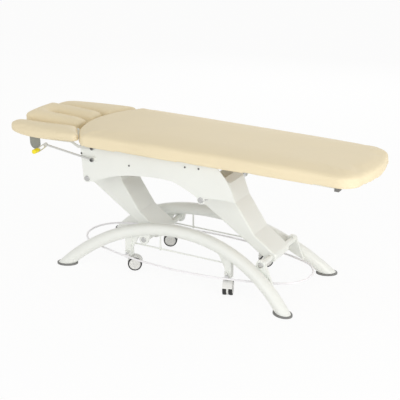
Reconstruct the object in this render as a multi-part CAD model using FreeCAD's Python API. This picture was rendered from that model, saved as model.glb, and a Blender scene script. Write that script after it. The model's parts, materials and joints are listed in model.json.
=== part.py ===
"""Height-adjustable treatment table: arched tube base, two parallel lift legs, padded top with head end.

Millimetres. +X runs from the head end to the foot (tail) end, -Y is the near side, +Z is up.
The origin lies on the floor under the middle of the table. The pose is the one that the solids rest in.
"""
import FreeCAD, Part
import math
import os
from FreeCAD import Vector as V

# Overall
TABLE_LENGTH = 1930.0
TOP_HEIGHT = 730.0
RUNNING_GAP = 0.05
FREE_GAP = 0.5

# Arched base tubes and their foot pads
ARCH_HALF_SPAN = 630.0
ARCH_RISE = 261.0
ARCH_MID_Y = 165.0
ARCH_FOOT_Y = 274.0
ARCH_TUBE_D = 64.0
ARCH_TUBE_WALL = 3.0
PAD_RIM = 8.0
PAD_THICK = 9.0
PAD_EDGE = 3.0

# Pivots of the parallel legs
HEAD_PIVOT_X = -197.0
HEAD_LUG_DROP = 51.46
TAIL_LUG_RISE = 54.82
LINK_BACK = 305.0
UPPER_PIVOT_DROP = 188.0
SHAFT_R = 15.0
BUSH_WALL = 3.0
BUSH_FLANGE_R = 24.0
BUSH_FLANGE_T = 2.0
CAP_R = 14.0
CAP_T = 5.0
CAP_EDGE = 2.0
LUG_INNER_Y = 176.0
LUG_T = 14.0
LUG_R = 26.0

# Folded sheet legs: the side outline's upper corners from the upper pivot, the knee from the lower one
LEG_HALF_W = 80.0
LEG_WALL = 4.0
LEG_END_R = 28.0
LEG_BACK_TOP = (-72.0, -78.0)
LEG_TOP_BACK = (-72.0, 8.0)
LEG_TOP_MID = (-40.0, 60.0)
LEG_TOP_FRONT = (47.0, 74.0)
LEG_SHOULDER = (75.0, 50.0)
LEG_WAIST = (109.0, -42.0)
LEG_KNEE = (-93.0, 100.0)
LEG_EDGE_R = 8.0
CRANK_SLOT_START = 7.0
CRANK_SLOT_GAP = 3.0

# Lift actuator inside the tail leg
CRANK_R = 45.0
CRANK_T = 16.0
CRANK_PIN_R = 7.0
MOTOR_SETBACK = 92.0
ACTUATOR_TUBE_R = 22.0
ACTUATOR_TUBE_START = 85.0
ACTUATOR_BORE_R = 14.0
ACTUATOR_ROD_R = 12.0
MOTOR_R = 30.0
MOTOR_LENGTH = 110.0
ROD_EYE_R = 22.0
ROD_EYE_SLOT = 9.0

# Castors under the arches
POST_X = 288.0
POST_Y = 182.0
POST_W = 34.0
POST_D = 30.0
POST_BOTTOM_Z = 86.0
POST_GUSSET = 62.0
POST_GUSSET_T = 8.0
CASTOR_WHEEL_R = 37.0
CASTOR_WHEEL_W = 18.0
CASTOR_WHEEL_GAP = 13.0
CASTOR_LIFT = 3.0
CASTOR_TRAIL = 26.0
CASTOR_WEB_T = 10.0
CASTOR_HOOD_R = 38.2
CASTOR_HOOD_T = 1.6
CASTOR_STEM_R = 6.0
CASTOR_STEM_LENGTH = 34.0
CASTOR_AXLE_R = 4.0
CASTOR_STEM_END_GAP = 1.0
CASTOR_NECK_LAP = 1.0
CASTOR_TURN = {"near_head": 29.0, "near_tail": -70.0, "far_head": 24.0, "far_tail": 33.0}

# Tie rods between castor posts, and their hangers
TIE_ROD_R = 4.0
TIE_ROD_Y = 170.0
TIE_ROD_Z = 149.0
HANGER_X = -110.0
HANGER_W = 8.0
HANGER_T = 4.0

# All-round foot switch ring
RING_HALF_LENGTH = 645.0
RING_HALF_WIDTH = 256.0
RING_END_R = 165.0
RING_Z = 94.0
RING_TUBE_R = 5.0
GUIDE_PIN_R = 3.5
GUIDE_PIN_OUT = 14.0
GUIDE_EAR_Z = 114.0
GUIDE_EAR_T = 4.0
GUIDE_HEAD_Z = 80.5
GUIDE_HEAD_T = 3.0
GUIDE_HEAD_R = 6.5
EYELET_W = 16.0
EYELET_H = 10.0

# Side plates that carry the top
PLATE_OUTER_Y = 234.0
PLATE_T = 4.0
PLATE_FLANGE_W = 29.0
PLATE_TOP_LEFT_REACH = 36.0
PLATE_BOTTOM_LEFT_REACH = 20.0
PLATE_WAIST_LEFT_REACH = 312.0
PLATE_TOP_RIGHT_REACH = 70.0
PLATE_HEEL_REACH = 183.0
PLATE_WAIST_RIGHT_REACH = 158.0
PLATE_HEAD_FOOT_DROP = 200.0
PLATE_TAIL_FOOT_DROP = 184.0
PLATE_WAIST_DROP = 117.0
PLATE_WAIST_LEFT_DIP = 8.0
PLATE_WAIST_RIGHT_DIP = 2.0
PLATE_HEEL_RISE = 14.0
PLATE_SOLE_RISE = 16.0
PLATE_HEEL_BULGE = (18.0, 8.0)
PLATE_RISE_SHARE = 0.64
PLATE_FALL_SHARE = 0.55
PLATE_PIVOT_R = 20.0
PLATE_BOLT_R = 5.0
PLATE_BOLT_HEAD_T = 3.0
PLATE_BOLTS = (("head", 256.0, 78.0), ("tail", -86.0, 34.0), ("tail", -11.0, 30.0), ("head", -28.0, 57.0))

# Frame under the cushion
RAIL_OUTER_Y = 205.0
RAIL_W = 30.0
RAIL_H = 20.0
RAIL_WALL = 2.0
RAIL_HEAD_X = -545.0
RAIL_TAIL_INSET = 139.0
CROSS_BAR_W = 40.0
HEAD_BAR_X = -505.0
MIDDLE_BAR_X = 60.0
TAIL_BAR_INSET = 186.0
END_CAP_LENGTH = 40.0
END_CAP_DROP = 14.0
END_CAP_SLOPE = 18.0
BOARD_T = 12.0
BOARD_INSET = 14.0
CONTROL_BOX_X = -330.0
CONTROL_BOX = (190.0, 120.0, 46.0)

# Main cushion outline and section
CUSHION_T = 62.0
MAIN_HEAD_X = -622.0
MAIN_HEAD_SHOULDER_X = -488.0
MAIN_HEAD_HALF_W = 290.0
MAIN_TAIL_HALF_W = 254.0
MAIN_TAIL_SHOULDER_INSET = 120.0
MAIN_TAIL_CORNER_INSET = 23.0
MAIN_TAIL_CORNER_Y = 150.0
MAIN_TAIL_SWELL_INSET = 47.0
MAIN_TAIL_SWELL_Y = 218.0
CUSHION_ROUND = 20.0
CUSHION_DRAW_IN = 3.0
CUSHION_CROWN = 5.0
CUSHION_CROWN_INSET = 52.0

# Headrest, hinged on the frame beside the head end of the main cushion
HEADREST_GAP = 8.0
HEADREST_HINGE_RISE = 18.0
HEADREST_TILT = 2.0
HEADREST_TIP_SHIFT = 0.7
HEADREST_HALF_W = 122.0
HEADREST_T = 62.0
HEADREST_CORNER_R = 42.0
HEADREST_TIP_R = 26.0
HEADREST_SLOT_HALF_W = 24.0
HEADREST_SLOT_INSET = 112.0
HEADREST_ROUND = 20.0
HEADREST_CROWN = 9.0
HEADREST_CROWN_INSET = 34.0
HEADREST_PLATE_T = 6.0
HINGE_PIN_R = 6.0
HINGE_EAR_R = 14.0
HINGE_EAR_T = 5.0
HINGE_SIDE_GAP = 1.0
HINGE_ARM_Y = 132.0
TOP_CORNER_R = 4.0

# Armrests: each tilts on an arm from the upper boss, and a slotted stay from the lower boss holds it
ARMREST_INNER_Y = 152.0
ARMREST_OUTER_Y = 284.0
ARMREST_LEFT_X = -950.0
ARMREST_INNER_RIGHT_X = -609.0
ARMREST_OUTER_RIGHT_X = -512.0
ARMREST_SEAT_RISE = 30.0
ARMREST_T = 48.0
ARMREST_TILT = -2.2
ARMREST_CORNER_R = 46.0
ARMREST_TIP_R = 22.0
ARMREST_ROUND = 17.0
ARMREST_CROWN = 9.0
ARMREST_CROWN_INSET = 44.0
ARM_PIVOT_SETBACK = 44.0
ARM_UPPER_PIVOT_DROP = 18.0
ARM_LOWER_PIVOT_DROP = 78.0
ARM_T = 4.0
ARM_SIDE_GAP = 0.5
ARM_BOSS_T = 5.5
ARM_BOSS_R = 15.0
ARM_EYE_R = 12.0
ARM_BAR_H = 14.0
ARM_LEVEL_LENGTH = 86.0
ARM_RISE_LENGTH = 44.0
ARM_PIN_R = 4.0
ARM_BOLT_HEAD_R = 7.0
ARM_BOLT_HEAD_T = 4.0
STAY_T = 5.0
STAY_ROD_R = 5.0
STAY_EYE_R = 11.0
STAY_BEND = (-284.0, 37.0)
STAY_LEVER_W = 22.0
STAY_SLOT_GAP = 2.5
STAY_SLOT_BACK = 6.0
STAY_SLOT_AHEAD = 36.0
BRACKET_LEFT = -388.0
BRACKET_RIGHT = -324.0
BRACKET_DEPTH = 74.0
BRACKET_FLANGE_INSET = 20.0
KNOB_REACH = -332.0
KNOB_DROP = 44.0
KNOB_R = 12.0
KNOB_LENGTH = 40.0
KNOB_COLLAR_R = 8.0
KNOB_COLLAR_T = 6.0

# Places worked out from the sizes above
ARCH_SLOPE = math.hypot(ARCH_FOOT_Y - ARCH_MID_Y, ARCH_RISE)
ARCH_R = (ARCH_HALF_SPAN ** 2 + ARCH_SLOPE ** 2) / (2 * ARCH_SLOPE)


def arch_height(x):
    """Height of an arch's centre line at a given X."""
    drop = ARCH_R - math.sqrt(ARCH_R ** 2 - x ** 2)
    return ARCH_RISE * (1 - drop / ARCH_SLOPE)


def arch_reach(z):
    """How far from the middle an arch's centre line has a given height."""
    drop = ARCH_SLOPE * (1 - z / ARCH_RISE)
    return math.sqrt(ARCH_R ** 2 - (ARCH_R - drop) ** 2)


CUSHION_BOTTOM_Z = TOP_HEIGHT - CUSHION_T
RAIL_BOTTOM_Z = CUSHION_BOTTOM_Z - RAIL_H
RAIL_TAIL_X = TABLE_LENGTH / 2 - RAIL_TAIL_INSET
LOWER_PIVOT_Z = arch_height(HEAD_PIVOT_X) - HEAD_LUG_DROP
TAIL_PIVOT_X = arch_reach(LOWER_PIVOT_Z - TAIL_LUG_RISE)
UPPER_PIVOT_Z = CUSHION_BOTTOM_Z - UPPER_PIVOT_DROP
LINK_RISE = UPPER_PIVOT_Z - LOWER_PIVOT_Z
LINK_LENGTH = math.hypot(LINK_BACK, LINK_RISE)
GUIDE_PIN_Y = POST_Y + POST_D / 2 + GUIDE_PIN_OUT
HEADREST_LEFT_X = -TABLE_LENGTH / 2 - HEADREST_TIP_SHIFT
HEADREST_RIGHT_X = MAIN_HEAD_X - HEADREST_GAP
HEADREST_SLOT_X = HEADREST_LEFT_X + HEADREST_SLOT_INSET
HEADREST_HINGE_X = MAIN_HEAD_X
HEADREST_HINGE_Z = CUSHION_BOTTOM_Z + HEADREST_HINGE_RISE
ARM_PIVOT_X = HEAD_PIVOT_X - LINK_BACK + ARM_PIVOT_SETBACK
ARM_UPPER_Z = CUSHION_BOTTOM_Z - ARM_UPPER_PIVOT_DROP
ARM_LOWER_Z = CUSHION_BOTTOM_Z - ARM_LOWER_PIVOT_DROP
ARMREST_BOTTOM_Z = ARM_UPPER_Z + ARMREST_SEAT_RISE
ARM_INNER_Y = PLATE_OUTER_Y + ARM_BOSS_T + ARM_SIDE_GAP
ARM_OUTER_Y = ARM_INNER_Y + ARM_T
STAY_INNER_Y = ARM_OUTER_Y + ARM_SIDE_GAP
STAY_OUTER_Y = STAY_INNER_Y + STAY_T
LOWER_PIVOTS = {"head": HEAD_PIVOT_X, "tail": TAIL_PIVOT_X}
SIDES = {"near": -1.0, "far": 1.0}
ENDS = {"head": -1.0, "tail": 1.0}
Y_AXIS = V(0, 1, 0)
Z_AXIS = V(0, 0, 1)
PLATE_INNER_Y = PLATE_OUTER_Y - PLATE_T
LUG_OUTER_Y = LUG_INNER_Y + LUG_T
BUSH_BORE_R = SHAFT_R + RUNNING_GAP
BUSH_OUTER_R = BUSH_BORE_R + BUSH_WALL

os.makedirs("parts", exist_ok=True)


def save(name, *solids):
    """Write one named node, a single solid or a group of separate solids."""
    shape = solids[0] if len(solids) == 1 else Part.makeCompound(list(solids))
    shape.exportStep("parts/" + name + ".step")


def box(x0, x1, y0, y1, z0, z1):
    low = V(min(x0, x1), min(y0, y1), min(z0, z1))
    return Part.makeBox(abs(x1 - x0), abs(y1 - y0), abs(z1 - z0), low)


def rod(start, end, radius):
    """A round bar between two points."""
    run = end - start
    return Part.makeCylinder(radius, run.Length, start, run)


def across(x, z, radius, y0, y1):
    """A round bar along Y."""
    return rod(V(x, min(y0, y1), z), V(x, max(y0, y1), z), radius)


def slab(points, y0, y1):
    """An outline of (x, z) corners, as a plate between two Y planes."""
    corners = [V(x, min(y0, y1), z) for x, z in points]
    face = Part.Face(Part.makePolygon(corners + corners[:1]))
    return face.extrude(V(0, abs(y1 - y0), 0))


def mirrored(shape):
    """The same piece on the other side of the table."""
    return shape.mirror(V(0, 0, 0), Y_AXIS)


def fused(first, *others):
    return first.fuse(list(others)).removeSplitter()


def long_edges(shape, direction, least):
    """Straight edges along a direction that are at least so long."""
    found = []
    for edge in shape.Edges:
        ends = edge.Vertexes
        if len(ends) == 2 and edge.Length > least:
            run = ends[1].Point - ends[0].Point
            if abs(run.Length - edge.Length) < 1e-6 and abs(run.dot(direction)) > 0.999 * run.Length:
                found.append(edge)
    return found


# Foot switch ring's oval

def ring_centres():
    """Half length, side radius, and the joint between side and end arcs of the oval."""
    a, b, r = RING_HALF_LENGTH, RING_HALF_WIDTH, RING_END_R
    side_r = (a * a + b * b - 2 * a * r) / (2 * (b - r))
    rise = side_r - b
    reach = math.hypot(a - r, rise)
    joint = V(a - r + r * (a - r) / reach, r * rise / reach, 0)
    return side_r, joint


def ring_y(x):
    """Half width of the oval at a given X on its long sides."""
    side_r, joint = ring_centres()
    return math.sqrt(side_r ** 2 - x ** 2) - (side_r - RING_HALF_WIDTH)


# Arched base

def arch_frame():
    """Middle point, centre, axis and radius of the near arch's centre line, which leans in at the top."""
    down = V(0, ARCH_MID_Y - ARCH_FOOT_Y, -ARCH_RISE) * (1 / ARCH_SLOPE)
    middle = V(0, -ARCH_MID_Y, ARCH_RISE)
    return middle, middle + down * ARCH_R, V(1, 0, 0).cross(down), ARCH_R


def arch_point(x):
    """The near arch's centre line at a given X."""
    middle, centre, axis, radius = arch_frame()
    drop = radius - math.sqrt(radius ** 2 - x ** 2)
    down = (centre - middle) * (1 / radius)
    return V(x, 0, 0) + middle + down * drop


def arch_bar(radius):
    """A solid bar along the near arch, run on below the floor at both ends."""
    middle, centre, axis, arc_radius = arch_frame()
    turn = math.degrees(math.asin((ARCH_HALF_SPAN + ARCH_TUBE_D) / arc_radius))
    face = Part.Face(Part.Wire(Part.makeCircle(radius, middle, V(1, 0, 0))))
    face.rotate(centre, axis, -turn)
    return face.revolve(centre, axis, 2 * turn)


def pivot_lug(x):
    """A welded plate with the bore for a lower pivot shaft, reaching from the pivot to the near arch."""
    foot = arch_point(x)
    y0, y1 = -LUG_OUTER_Y, -LUG_INNER_Y
    eye = across(x, LOWER_PIVOT_Z, LUG_R, y0, y1)
    if foot.z > LOWER_PIVOT_Z:
        root = [(x - 1.5 * LUG_R, foot.z), (x + 1.5 * LUG_R, foot.z)]
        outline = root + [(x + LUG_R, LOWER_PIVOT_Z), (x - LUG_R, LOWER_PIVOT_Z)]
        return fused(eye, slab(outline, y0, y1))
    root_x = x + 2.5 * LUG_R
    root_z = arch_point(root_x).z
    outline = [(x - LUG_R, LOWER_PIVOT_Z), (x - LUG_R, foot.z), (root_x, root_z), (x + LUG_R, LOWER_PIVOT_Z)]
    pad = slab([(x - LUG_R, foot.z), (x, foot.z + LUG_T), (root_x, root_z), (x, foot.z - LUG_T)],
               foot.y + ARCH_TUBE_D / 4, y1)
    return fused(eye, slab(outline, y0, y1), pad)


def castor_post(side_x):
    """A square post under the near arch, with a gusset towards the middle and a socket for the stem."""
    top_z = arch_point(side_x).z
    half_w, half_d = POST_W / 2, POST_D / 2
    post = box(side_x - half_w, side_x + half_w, -POST_Y - half_d, -POST_Y + half_d, POST_BOTTOM_Z, top_z)
    inward = -math.copysign(1.0, side_x)
    inner_x = side_x + inward * half_w
    tip_x = inner_x + inward * POST_GUSSET
    outline = [(inner_x, top_z - ARCH_TUBE_D / 2 - POST_GUSSET), (inner_x, top_z),
               (tip_x, arch_point(tip_x).z)]
    gusset = slab(outline, -POST_Y - POST_GUSSET_T / 2, -POST_Y + POST_GUSSET_T / 2)
    socket = Part.makeCylinder(CASTOR_STEM_R + RUNNING_GAP, CASTOR_STEM_LENGTH + CASTOR_STEM_END_GAP,
                               V(side_x, -POST_Y, POST_BOTTOM_Z), Z_AXIS)
    return fused(post, gusset).cut(socket)


def guide_ear(side_x):
    """The small shelf on a post's outer face that holds a guide pin of the foot ring."""
    outer = -POST_Y - POST_D / 2
    return box(side_x - EYELET_W / 2, side_x + EYELET_W / 2, -GUIDE_PIN_Y - EYELET_W / 2, outer,
               GUIDE_EAR_Z, GUIDE_EAR_Z + GUIDE_EAR_T)


def near_arch():
    floor_cut = box(-TABLE_LENGTH, TABLE_LENGTH, -TABLE_LENGTH, 0, -TABLE_LENGTH, PAD_THICK)
    bar = arch_bar(ARCH_TUBE_D / 2)
    bore = arch_bar(ARCH_TUBE_D / 2 - ARCH_TUBE_WALL)
    welded = []
    for x in LOWER_PIVOTS.values():
        welded.append(pivot_lug(x).cut(bore))
    for end in ENDS.values():
        welded.append(castor_post(end * POST_X).cut(bore))
        welded.append(guide_ear(end * POST_X))
    arch = bar.cut(bore).cut(floor_cut).fuse(welded).removeSplitter()
    for x in LOWER_PIVOTS.values():
        arch = arch.cut(across(x, LOWER_PIVOT_Z, SHAFT_R, -LUG_OUTER_Y, -LUG_INNER_Y))
    for end in ENDS.values():
        pin_foot = V(end * POST_X, -GUIDE_PIN_Y, GUIDE_EAR_Z)
        pin_hole = Part.makeCylinder(GUIDE_PIN_R, GUIDE_EAR_T, pin_foot, Z_AXIS)
        arch = arch.cut(pin_hole)
    return arch


def foot_seat():
    """The near arch's centre line where it meets the top of its foot pad, on the tail side."""
    return arch_point(arch_reach(PAD_THICK))


def foot_pad(end):
    """An oval pad under one end of the near arch, a rim wider than the tube's slanting cut."""
    middle, centre, axis, radius = arch_frame()
    seat = foot_seat()
    run = axis.cross(seat - centre).normalize()
    half_w = ARCH_TUBE_D / 2 + PAD_RIM
    half_l = ARCH_TUBE_D / 2 / abs(run.z) + PAD_RIM
    oval = Part.Ellipse(V(0, 0, 0), half_l, half_w).toShape()
    pad = Part.Face(Part.Wire(oval)).extrude(V(0, 0, PAD_THICK))
    rims = [edge for edge in pad.Edges if edge.Closed and edge.BoundBox.ZMin > 0.5 * PAD_THICK]
    pad = pad.makeFillet(PAD_EDGE, rims)
    pad.rotate(V(0, 0, 0), Z_AXIS, math.degrees(math.atan2(run.y, end * run.x)))
    pad.translate(V(end * seat.x, seat.y, 0))
    return pad


def guide_pin(end):
    """A headed pin that hangs from the post's ear and guides the foot ring up and down."""
    at = V(end * POST_X, -GUIDE_PIN_Y, GUIDE_HEAD_Z)
    head = Part.makeCylinder(GUIDE_HEAD_R, GUIDE_HEAD_T, at, Z_AXIS)
    shank = Part.makeCylinder(GUIDE_PIN_R, GUIDE_EAR_Z + GUIDE_EAR_T - GUIDE_HEAD_Z, at, Z_AXIS)
    return fused(head, shank)


def tie_rod():
    reach = POST_X - POST_W / 2
    return rod(V(-reach, -TIE_ROD_Y, TIE_ROD_Z), V(reach, -TIE_ROD_Y, TIE_ROD_Z), TIE_ROD_R)


def tie_rod_hanger():
    """A flat strap from the underside of the near arch to its tie rod."""
    top = arch_point(HANGER_X)
    strap = box(HANGER_X - HANGER_W / 2, HANGER_X + HANGER_W / 2, -TIE_ROD_Y - HANGER_T / 2,
                -TIE_ROD_Y + HANGER_T / 2, TIE_ROD_Z - HANGER_W, top.z)
    hole_start = V(HANGER_X - HANGER_W, -TIE_ROD_Y, TIE_ROD_Z)
    hole_end = V(HANGER_X + HANGER_W, -TIE_ROD_Y, TIE_ROD_Z)
    rod_hole = rod(hole_start, hole_end, TIE_ROD_R)
    collar = rod(V(HANGER_X - HANGER_W / 2, -TIE_ROD_Y, TIE_ROD_Z),
                 V(HANGER_X + HANGER_W / 2, -TIE_ROD_Y, TIE_ROD_Z), HANGER_W)
    return fused(strap, collar).cut(rod_hole).cut(arch_bar(ARCH_TUBE_D / 2))


def pivot_cap(x, z, face_y):
    """A domed bolt cap on the outside of a lug or side plate on the near side."""
    cap = across(x, z, CAP_R, face_y - CAP_T, face_y)
    rims = [edge for edge in cap.Edges if edge.Closed and edge.BoundBox.YMax < face_y - 0.5 * CAP_T]
    return cap.makeFillet(CAP_EDGE, rims)


def build_base():
    arch = near_arch()
    save("near_arch", arch)
    save("far_arch", mirrored(arch))
    pads = [foot_pad(end) for end in ENDS.values()]
    save("foot_pads", *pads, *[mirrored(pad) for pad in pads])
    for end, x in LOWER_PIVOTS.items():
        shaft = across(x, LOWER_PIVOT_Z, SHAFT_R, -LUG_OUTER_Y, LUG_OUTER_Y)
        if end == "tail":
            shaft = fused(shaft, lift_crank())
        save(end + "_lower_shaft", shaft)
    caps = [pivot_cap(x, LOWER_PIVOT_Z, -LUG_OUTER_Y) for x in LOWER_PIVOTS.values()]
    save("lower_pivot_caps", *caps, *[mirrored(cap) for cap in caps])
    save("near_tie_rod", tie_rod())
    save("far_tie_rod", mirrored(tie_rod()))
    hanger = tie_rod_hanger()
    save("tie_rod_hangers", hanger, mirrored(hanger))
    pins = [guide_pin(end) for end in ENDS.values()]
    save("ring_guide_pins", *pins, *[mirrored(pin) for pin in pins])


# Castors

def castor_axle_point():
    return V(CASTOR_TRAIL, 0, CASTOR_LIFT + CASTOR_WHEEL_R)


def castor_fork():
    """Swivel body: stem, cap, centre web, axle and the hood over both wheels, with the stem on the Z axis."""
    hub = castor_axle_point()
    cap_top = POST_BOTTOM_Z - FREE_GAP
    cap_bottom = hub.z + CASTOR_HOOD_R
    stem_length = CASTOR_STEM_LENGTH + POST_BOTTOM_Z - cap_bottom
    stem = Part.makeCylinder(CASTOR_STEM_R, stem_length, V(0, 0, cap_bottom), Z_AXIS)
    cap = Part.makeCylinder(CASTOR_STEM_R * 2, cap_top - cap_bottom, V(0, 0, cap_bottom), Z_AXIS)
    web_r = CASTOR_HOOD_R + CASTOR_HOOD_T
    half_web = CASTOR_WEB_T / 2
    web = across(hub.x, hub.z, web_r * 0.86, -half_web, half_web)
    lap_z = cap_bottom + CASTOR_NECK_LAP
    neck = slab([(-CASTOR_STEM_R * 2, lap_z), (-CASTOR_STEM_R * 2, cap_bottom - web_r / 3),
                 (hub.x, hub.z), (hub.x, lap_z)], -half_web, half_web)
    hood_half_w = CASTOR_WHEEL_GAP / 2 + CASTOR_WHEEL_W
    hood = across(hub.x, hub.z, web_r, -hood_half_w, hood_half_w)
    hood = hood.cut(across(hub.x, hub.z, CASTOR_HOOD_R, -hood_half_w, hood_half_w))
    window = [(hub.x, hub.z), (hub.x + web_r, hub.z + web_r / 4), (hub.x + web_r, hub.z + 2 * web_r),
              (hub.x - web_r, hub.z + 2 * web_r), (hub.x - web_r, hub.z + web_r / 3)]
    hood = hood.common(slab(window, -hood_half_w, hood_half_w))
    hood = hood.common(box(hub.x - web_r, hub.x + web_r, -hood_half_w, hood_half_w, 0, cap_top))
    rib = across(hub.x, hub.z, web_r, -half_web, half_web)
    reach = box(-web_r, hub.x + web_r, -half_web, half_web, 0, cap_top)
    rib = rib.common(slab(window, -half_web, half_web)).common(reach)
    axle = across(hub.x, hub.z, CASTOR_AXLE_R, -hood_half_w, hood_half_w)
    return fused(stem, cap, web, neck, hood, rib, axle)


def castor_wheels():
    """Two wheels, one each side of the web, turning on the axle."""
    hub = castor_axle_point()
    wheels = []
    for side in SIDES.values():
        inner, outer = side * CASTOR_WHEEL_GAP / 2, side * (CASTOR_WHEEL_GAP / 2 + CASTOR_WHEEL_W)
        wheel = across(hub.x, hub.z, CASTOR_WHEEL_R, inner, outer)
        wheel = wheel.makeFillet(CASTOR_WHEEL_W / 5, [edge for edge in wheel.Edges if edge.Closed])
        wheels.append(wheel.cut(across(hub.x, hub.z, CASTOR_AXLE_R + RUNNING_GAP, inner, outer)))
    return wheels


def build_castors():
    for side, sign in SIDES.items():
        for end, along in ENDS.items():
            name = side + "_" + end
            turn = FreeCAD.Rotation(Z_AXIS, CASTOR_TURN[name])
            place = FreeCAD.Placement(V(along * POST_X, sign * POST_Y, 0), turn)
            for node, solids in (("_castor_fork", [castor_fork()]), ("_castor_wheels", castor_wheels())):
                save(name + node, *[solid.transformGeometry(place.toMatrix()) for solid in solids])


# Foot switch ring

def ring_tube():
    """Four tangent arcs swept by a round section."""
    side_r, joint = ring_centres()
    a, b = RING_HALF_LENGTH, RING_HALF_WIDTH
    corners = [V(sx * joint.x, sy * joint.y, RING_Z) for sx, sy in ((1, -1), (1, 1), (-1, 1), (-1, -1))]
    tops = [V(a, 0, RING_Z), V(0, b, RING_Z), V(-a, 0, RING_Z), V(0, -b, RING_Z)]
    arcs = [Part.Arc(corners[i], tops[i], corners[(i + 1) % 4]).toShape() for i in range(4)]
    section = Part.Wire(Part.makeCircle(RING_TUBE_R, tops[3], V(1, 0, 0)))
    start = Part.Arc(tops[3], V(joint.x / 2, -ring_y(joint.x / 2), RING_Z), corners[0]).toShape()
    finish = Part.Arc(corners[3], V(-joint.x / 2, -ring_y(joint.x / 2), RING_Z), tops[3]).toShape()
    path = Part.Wire([start, arcs[0], arcs[1], arcs[2], finish])
    return path.makePipeShell([section], True, False)


def build_ring():
    ring = ring_tube()
    half = EYELET_W / 2
    for sign in SIDES.values():
        for end in ENDS.values():
            x = end * POST_X
            low = RING_Z - EYELET_H / 2
            outer = max(ring_y(x), GUIDE_PIN_Y + half)
            eyelet = box(x - half, x + half, sign * (GUIDE_PIN_Y - half), sign * outer, low, low + EYELET_H)
            bore_foot = V(x, sign * GUIDE_PIN_Y, low)
            bore = Part.makeCylinder(GUIDE_PIN_R + RUNNING_GAP, EYELET_H, bore_foot, Z_AXIS)
            ring = ring.fuse(eyelet).cut(bore)
    save("foot_ring", ring.removeSplitter())


# Lift legs and the actuator

def from_upper(corner):
    """A leg corner given from the upper pivot, measured from the lower one."""
    return corner[0] - LINK_BACK, corner[1] + LINK_RISE


def leg_tangents():
    """Where the leg's back and front edges leave the round end at the lower pivot."""
    points = []
    for corner, turn in ((from_upper(LEG_BACK_TOP), 1.0), (LEG_KNEE, -1.0)):
        reach = math.hypot(*corner)
        angle = math.atan2(corner[1], corner[0]) + turn * math.acos(LEG_END_R / reach)
        points.append((LEG_END_R * math.cos(angle), LEG_END_R * math.sin(angle)))
    return points


def leg_outline(x, y):
    """The leg's side view as a closed wire on a Y plane, for a lower pivot at x."""
    back, front = leg_tangents()
    upper = (LEG_BACK_TOP, LEG_TOP_BACK, LEG_TOP_MID, LEG_TOP_FRONT, LEG_SHOULDER, LEG_WAIST)
    corners = [back] + [from_upper(corner) for corner in upper] + [LEG_KNEE, front]
    points = [V(x + px, y, LOWER_PIVOT_Z + pz) for px, pz in corners]
    middle = (V(*back) + V(*front)).normalize()
    middle = middle * -1.0 if back[0] + front[0] > 0 else middle
    lowest = V(x - middle.x * LEG_END_R, y, LOWER_PIVOT_Z - middle.y * LEG_END_R)
    edges = [Part.LineSegment(points[i], points[i + 1]).toShape() for i in range(len(points) - 1)]
    edges.append(Part.Arc(points[-1], lowest, points[0]).toShape())
    return Part.Wire(edges)


def crank_slot(x):
    """The room at the back of the tail leg's lower end in which the lift crank and the rod's eye swing."""
    along, back = lift_axes()
    root = V(x, 0, LOWER_PIVOT_Z)
    reach, depth = CRANK_R + ROD_EYE_R, CRANK_R + 2 * ROD_EYE_R
    near, deep = root + back * CRANK_SLOT_START, root + back * depth
    corners = [near + along * reach, near - along * reach, deep - along * reach, deep + along * reach]
    half = CRANK_T + FREE_GAP + CRANK_SLOT_GAP
    return slab([(c.x, c.z) for c in corners], -half, half)


def leg_shell(x):
    """A folded sheet shell with front and side walls, open along its back edge."""
    back_top = from_upper(LEG_BACK_TOP)
    outer = Part.Face(leg_outline(x, -LEG_HALF_W)).extrude(V(0, 2 * LEG_HALF_W, 0))
    outer = outer.makeFillet(LEG_EDGE_R, [edge for edge in front_edges(outer, x)])
    back, front = leg_tangents()
    cavity_wire = leg_outline(x, -LEG_HALF_W + LEG_WALL).makeOffset2D(-LEG_WALL)
    cavity = Part.Face(cavity_wire).extrude(V(0, 2 * (LEG_HALF_W - LEG_WALL), 0))
    opening = [(x + px, LOWER_PIVOT_Z + pz) for px, pz in
               (back_top, (back_top[0] + LEG_WALL, back_top[1] + 10 * LEG_WALL),
                (back[0] * 2.0, back[1] + 10 * LEG_WALL), (back[0] * 1.0, back[1] * 2.0),
                (back_top[0], back_top[1] - 10 * LEG_WALL))]
    slot = slab(opening, -LEG_HALF_W + LEG_WALL, LEG_HALF_W - LEG_WALL)
    shell = outer.cut(cavity).cut(slot)
    for px, pz in ((x, LOWER_PIVOT_Z), (x - LINK_BACK, UPPER_PIVOT_Z)):
        shell = shell.cut(across(px, pz, BUSH_OUTER_R, -LEG_HALF_W, LEG_HALF_W))
    return shell


def front_edges(leg, x):
    """Edges along the leg's visible front, between the knee and the shoulder."""
    found = []
    for edge in leg.Edges:
        box_ = edge.BoundBox
        flat = box_.YLength < 1e-6
        past_shoulder = box_.XMin > x + from_upper(LEG_SHOULDER)[0] - 1
        forward = past_shoulder and box_.ZMin > LOWER_PIVOT_Z + LEG_END_R / 2
        if flat and forward and edge.Length > LEG_EDGE_R:
            found.append(edge)
    return found


def leg_bushes(x, upper_gap):
    """Flanged bearing bushes in both side walls at both pivots."""
    bushes = []
    for px, pz, gap in ((x, LOWER_PIVOT_Z, RUNNING_GAP), (x - LINK_BACK, UPPER_PIVOT_Z, upper_gap)):
        for side in SIDES.values():
            wall, face = side * (LEG_HALF_W - LEG_WALL), side * LEG_HALF_W
            sleeve = across(px, pz, BUSH_OUTER_R, wall, face)
            flange = across(px, pz, BUSH_FLANGE_R, face, face + side * BUSH_FLANGE_T)
            bore = across(px, pz, SHAFT_R + gap, wall, face + side * BUSH_FLANGE_T)
            bushes.append(fused(sleeve, flange).cut(bore))
    return bushes


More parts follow.
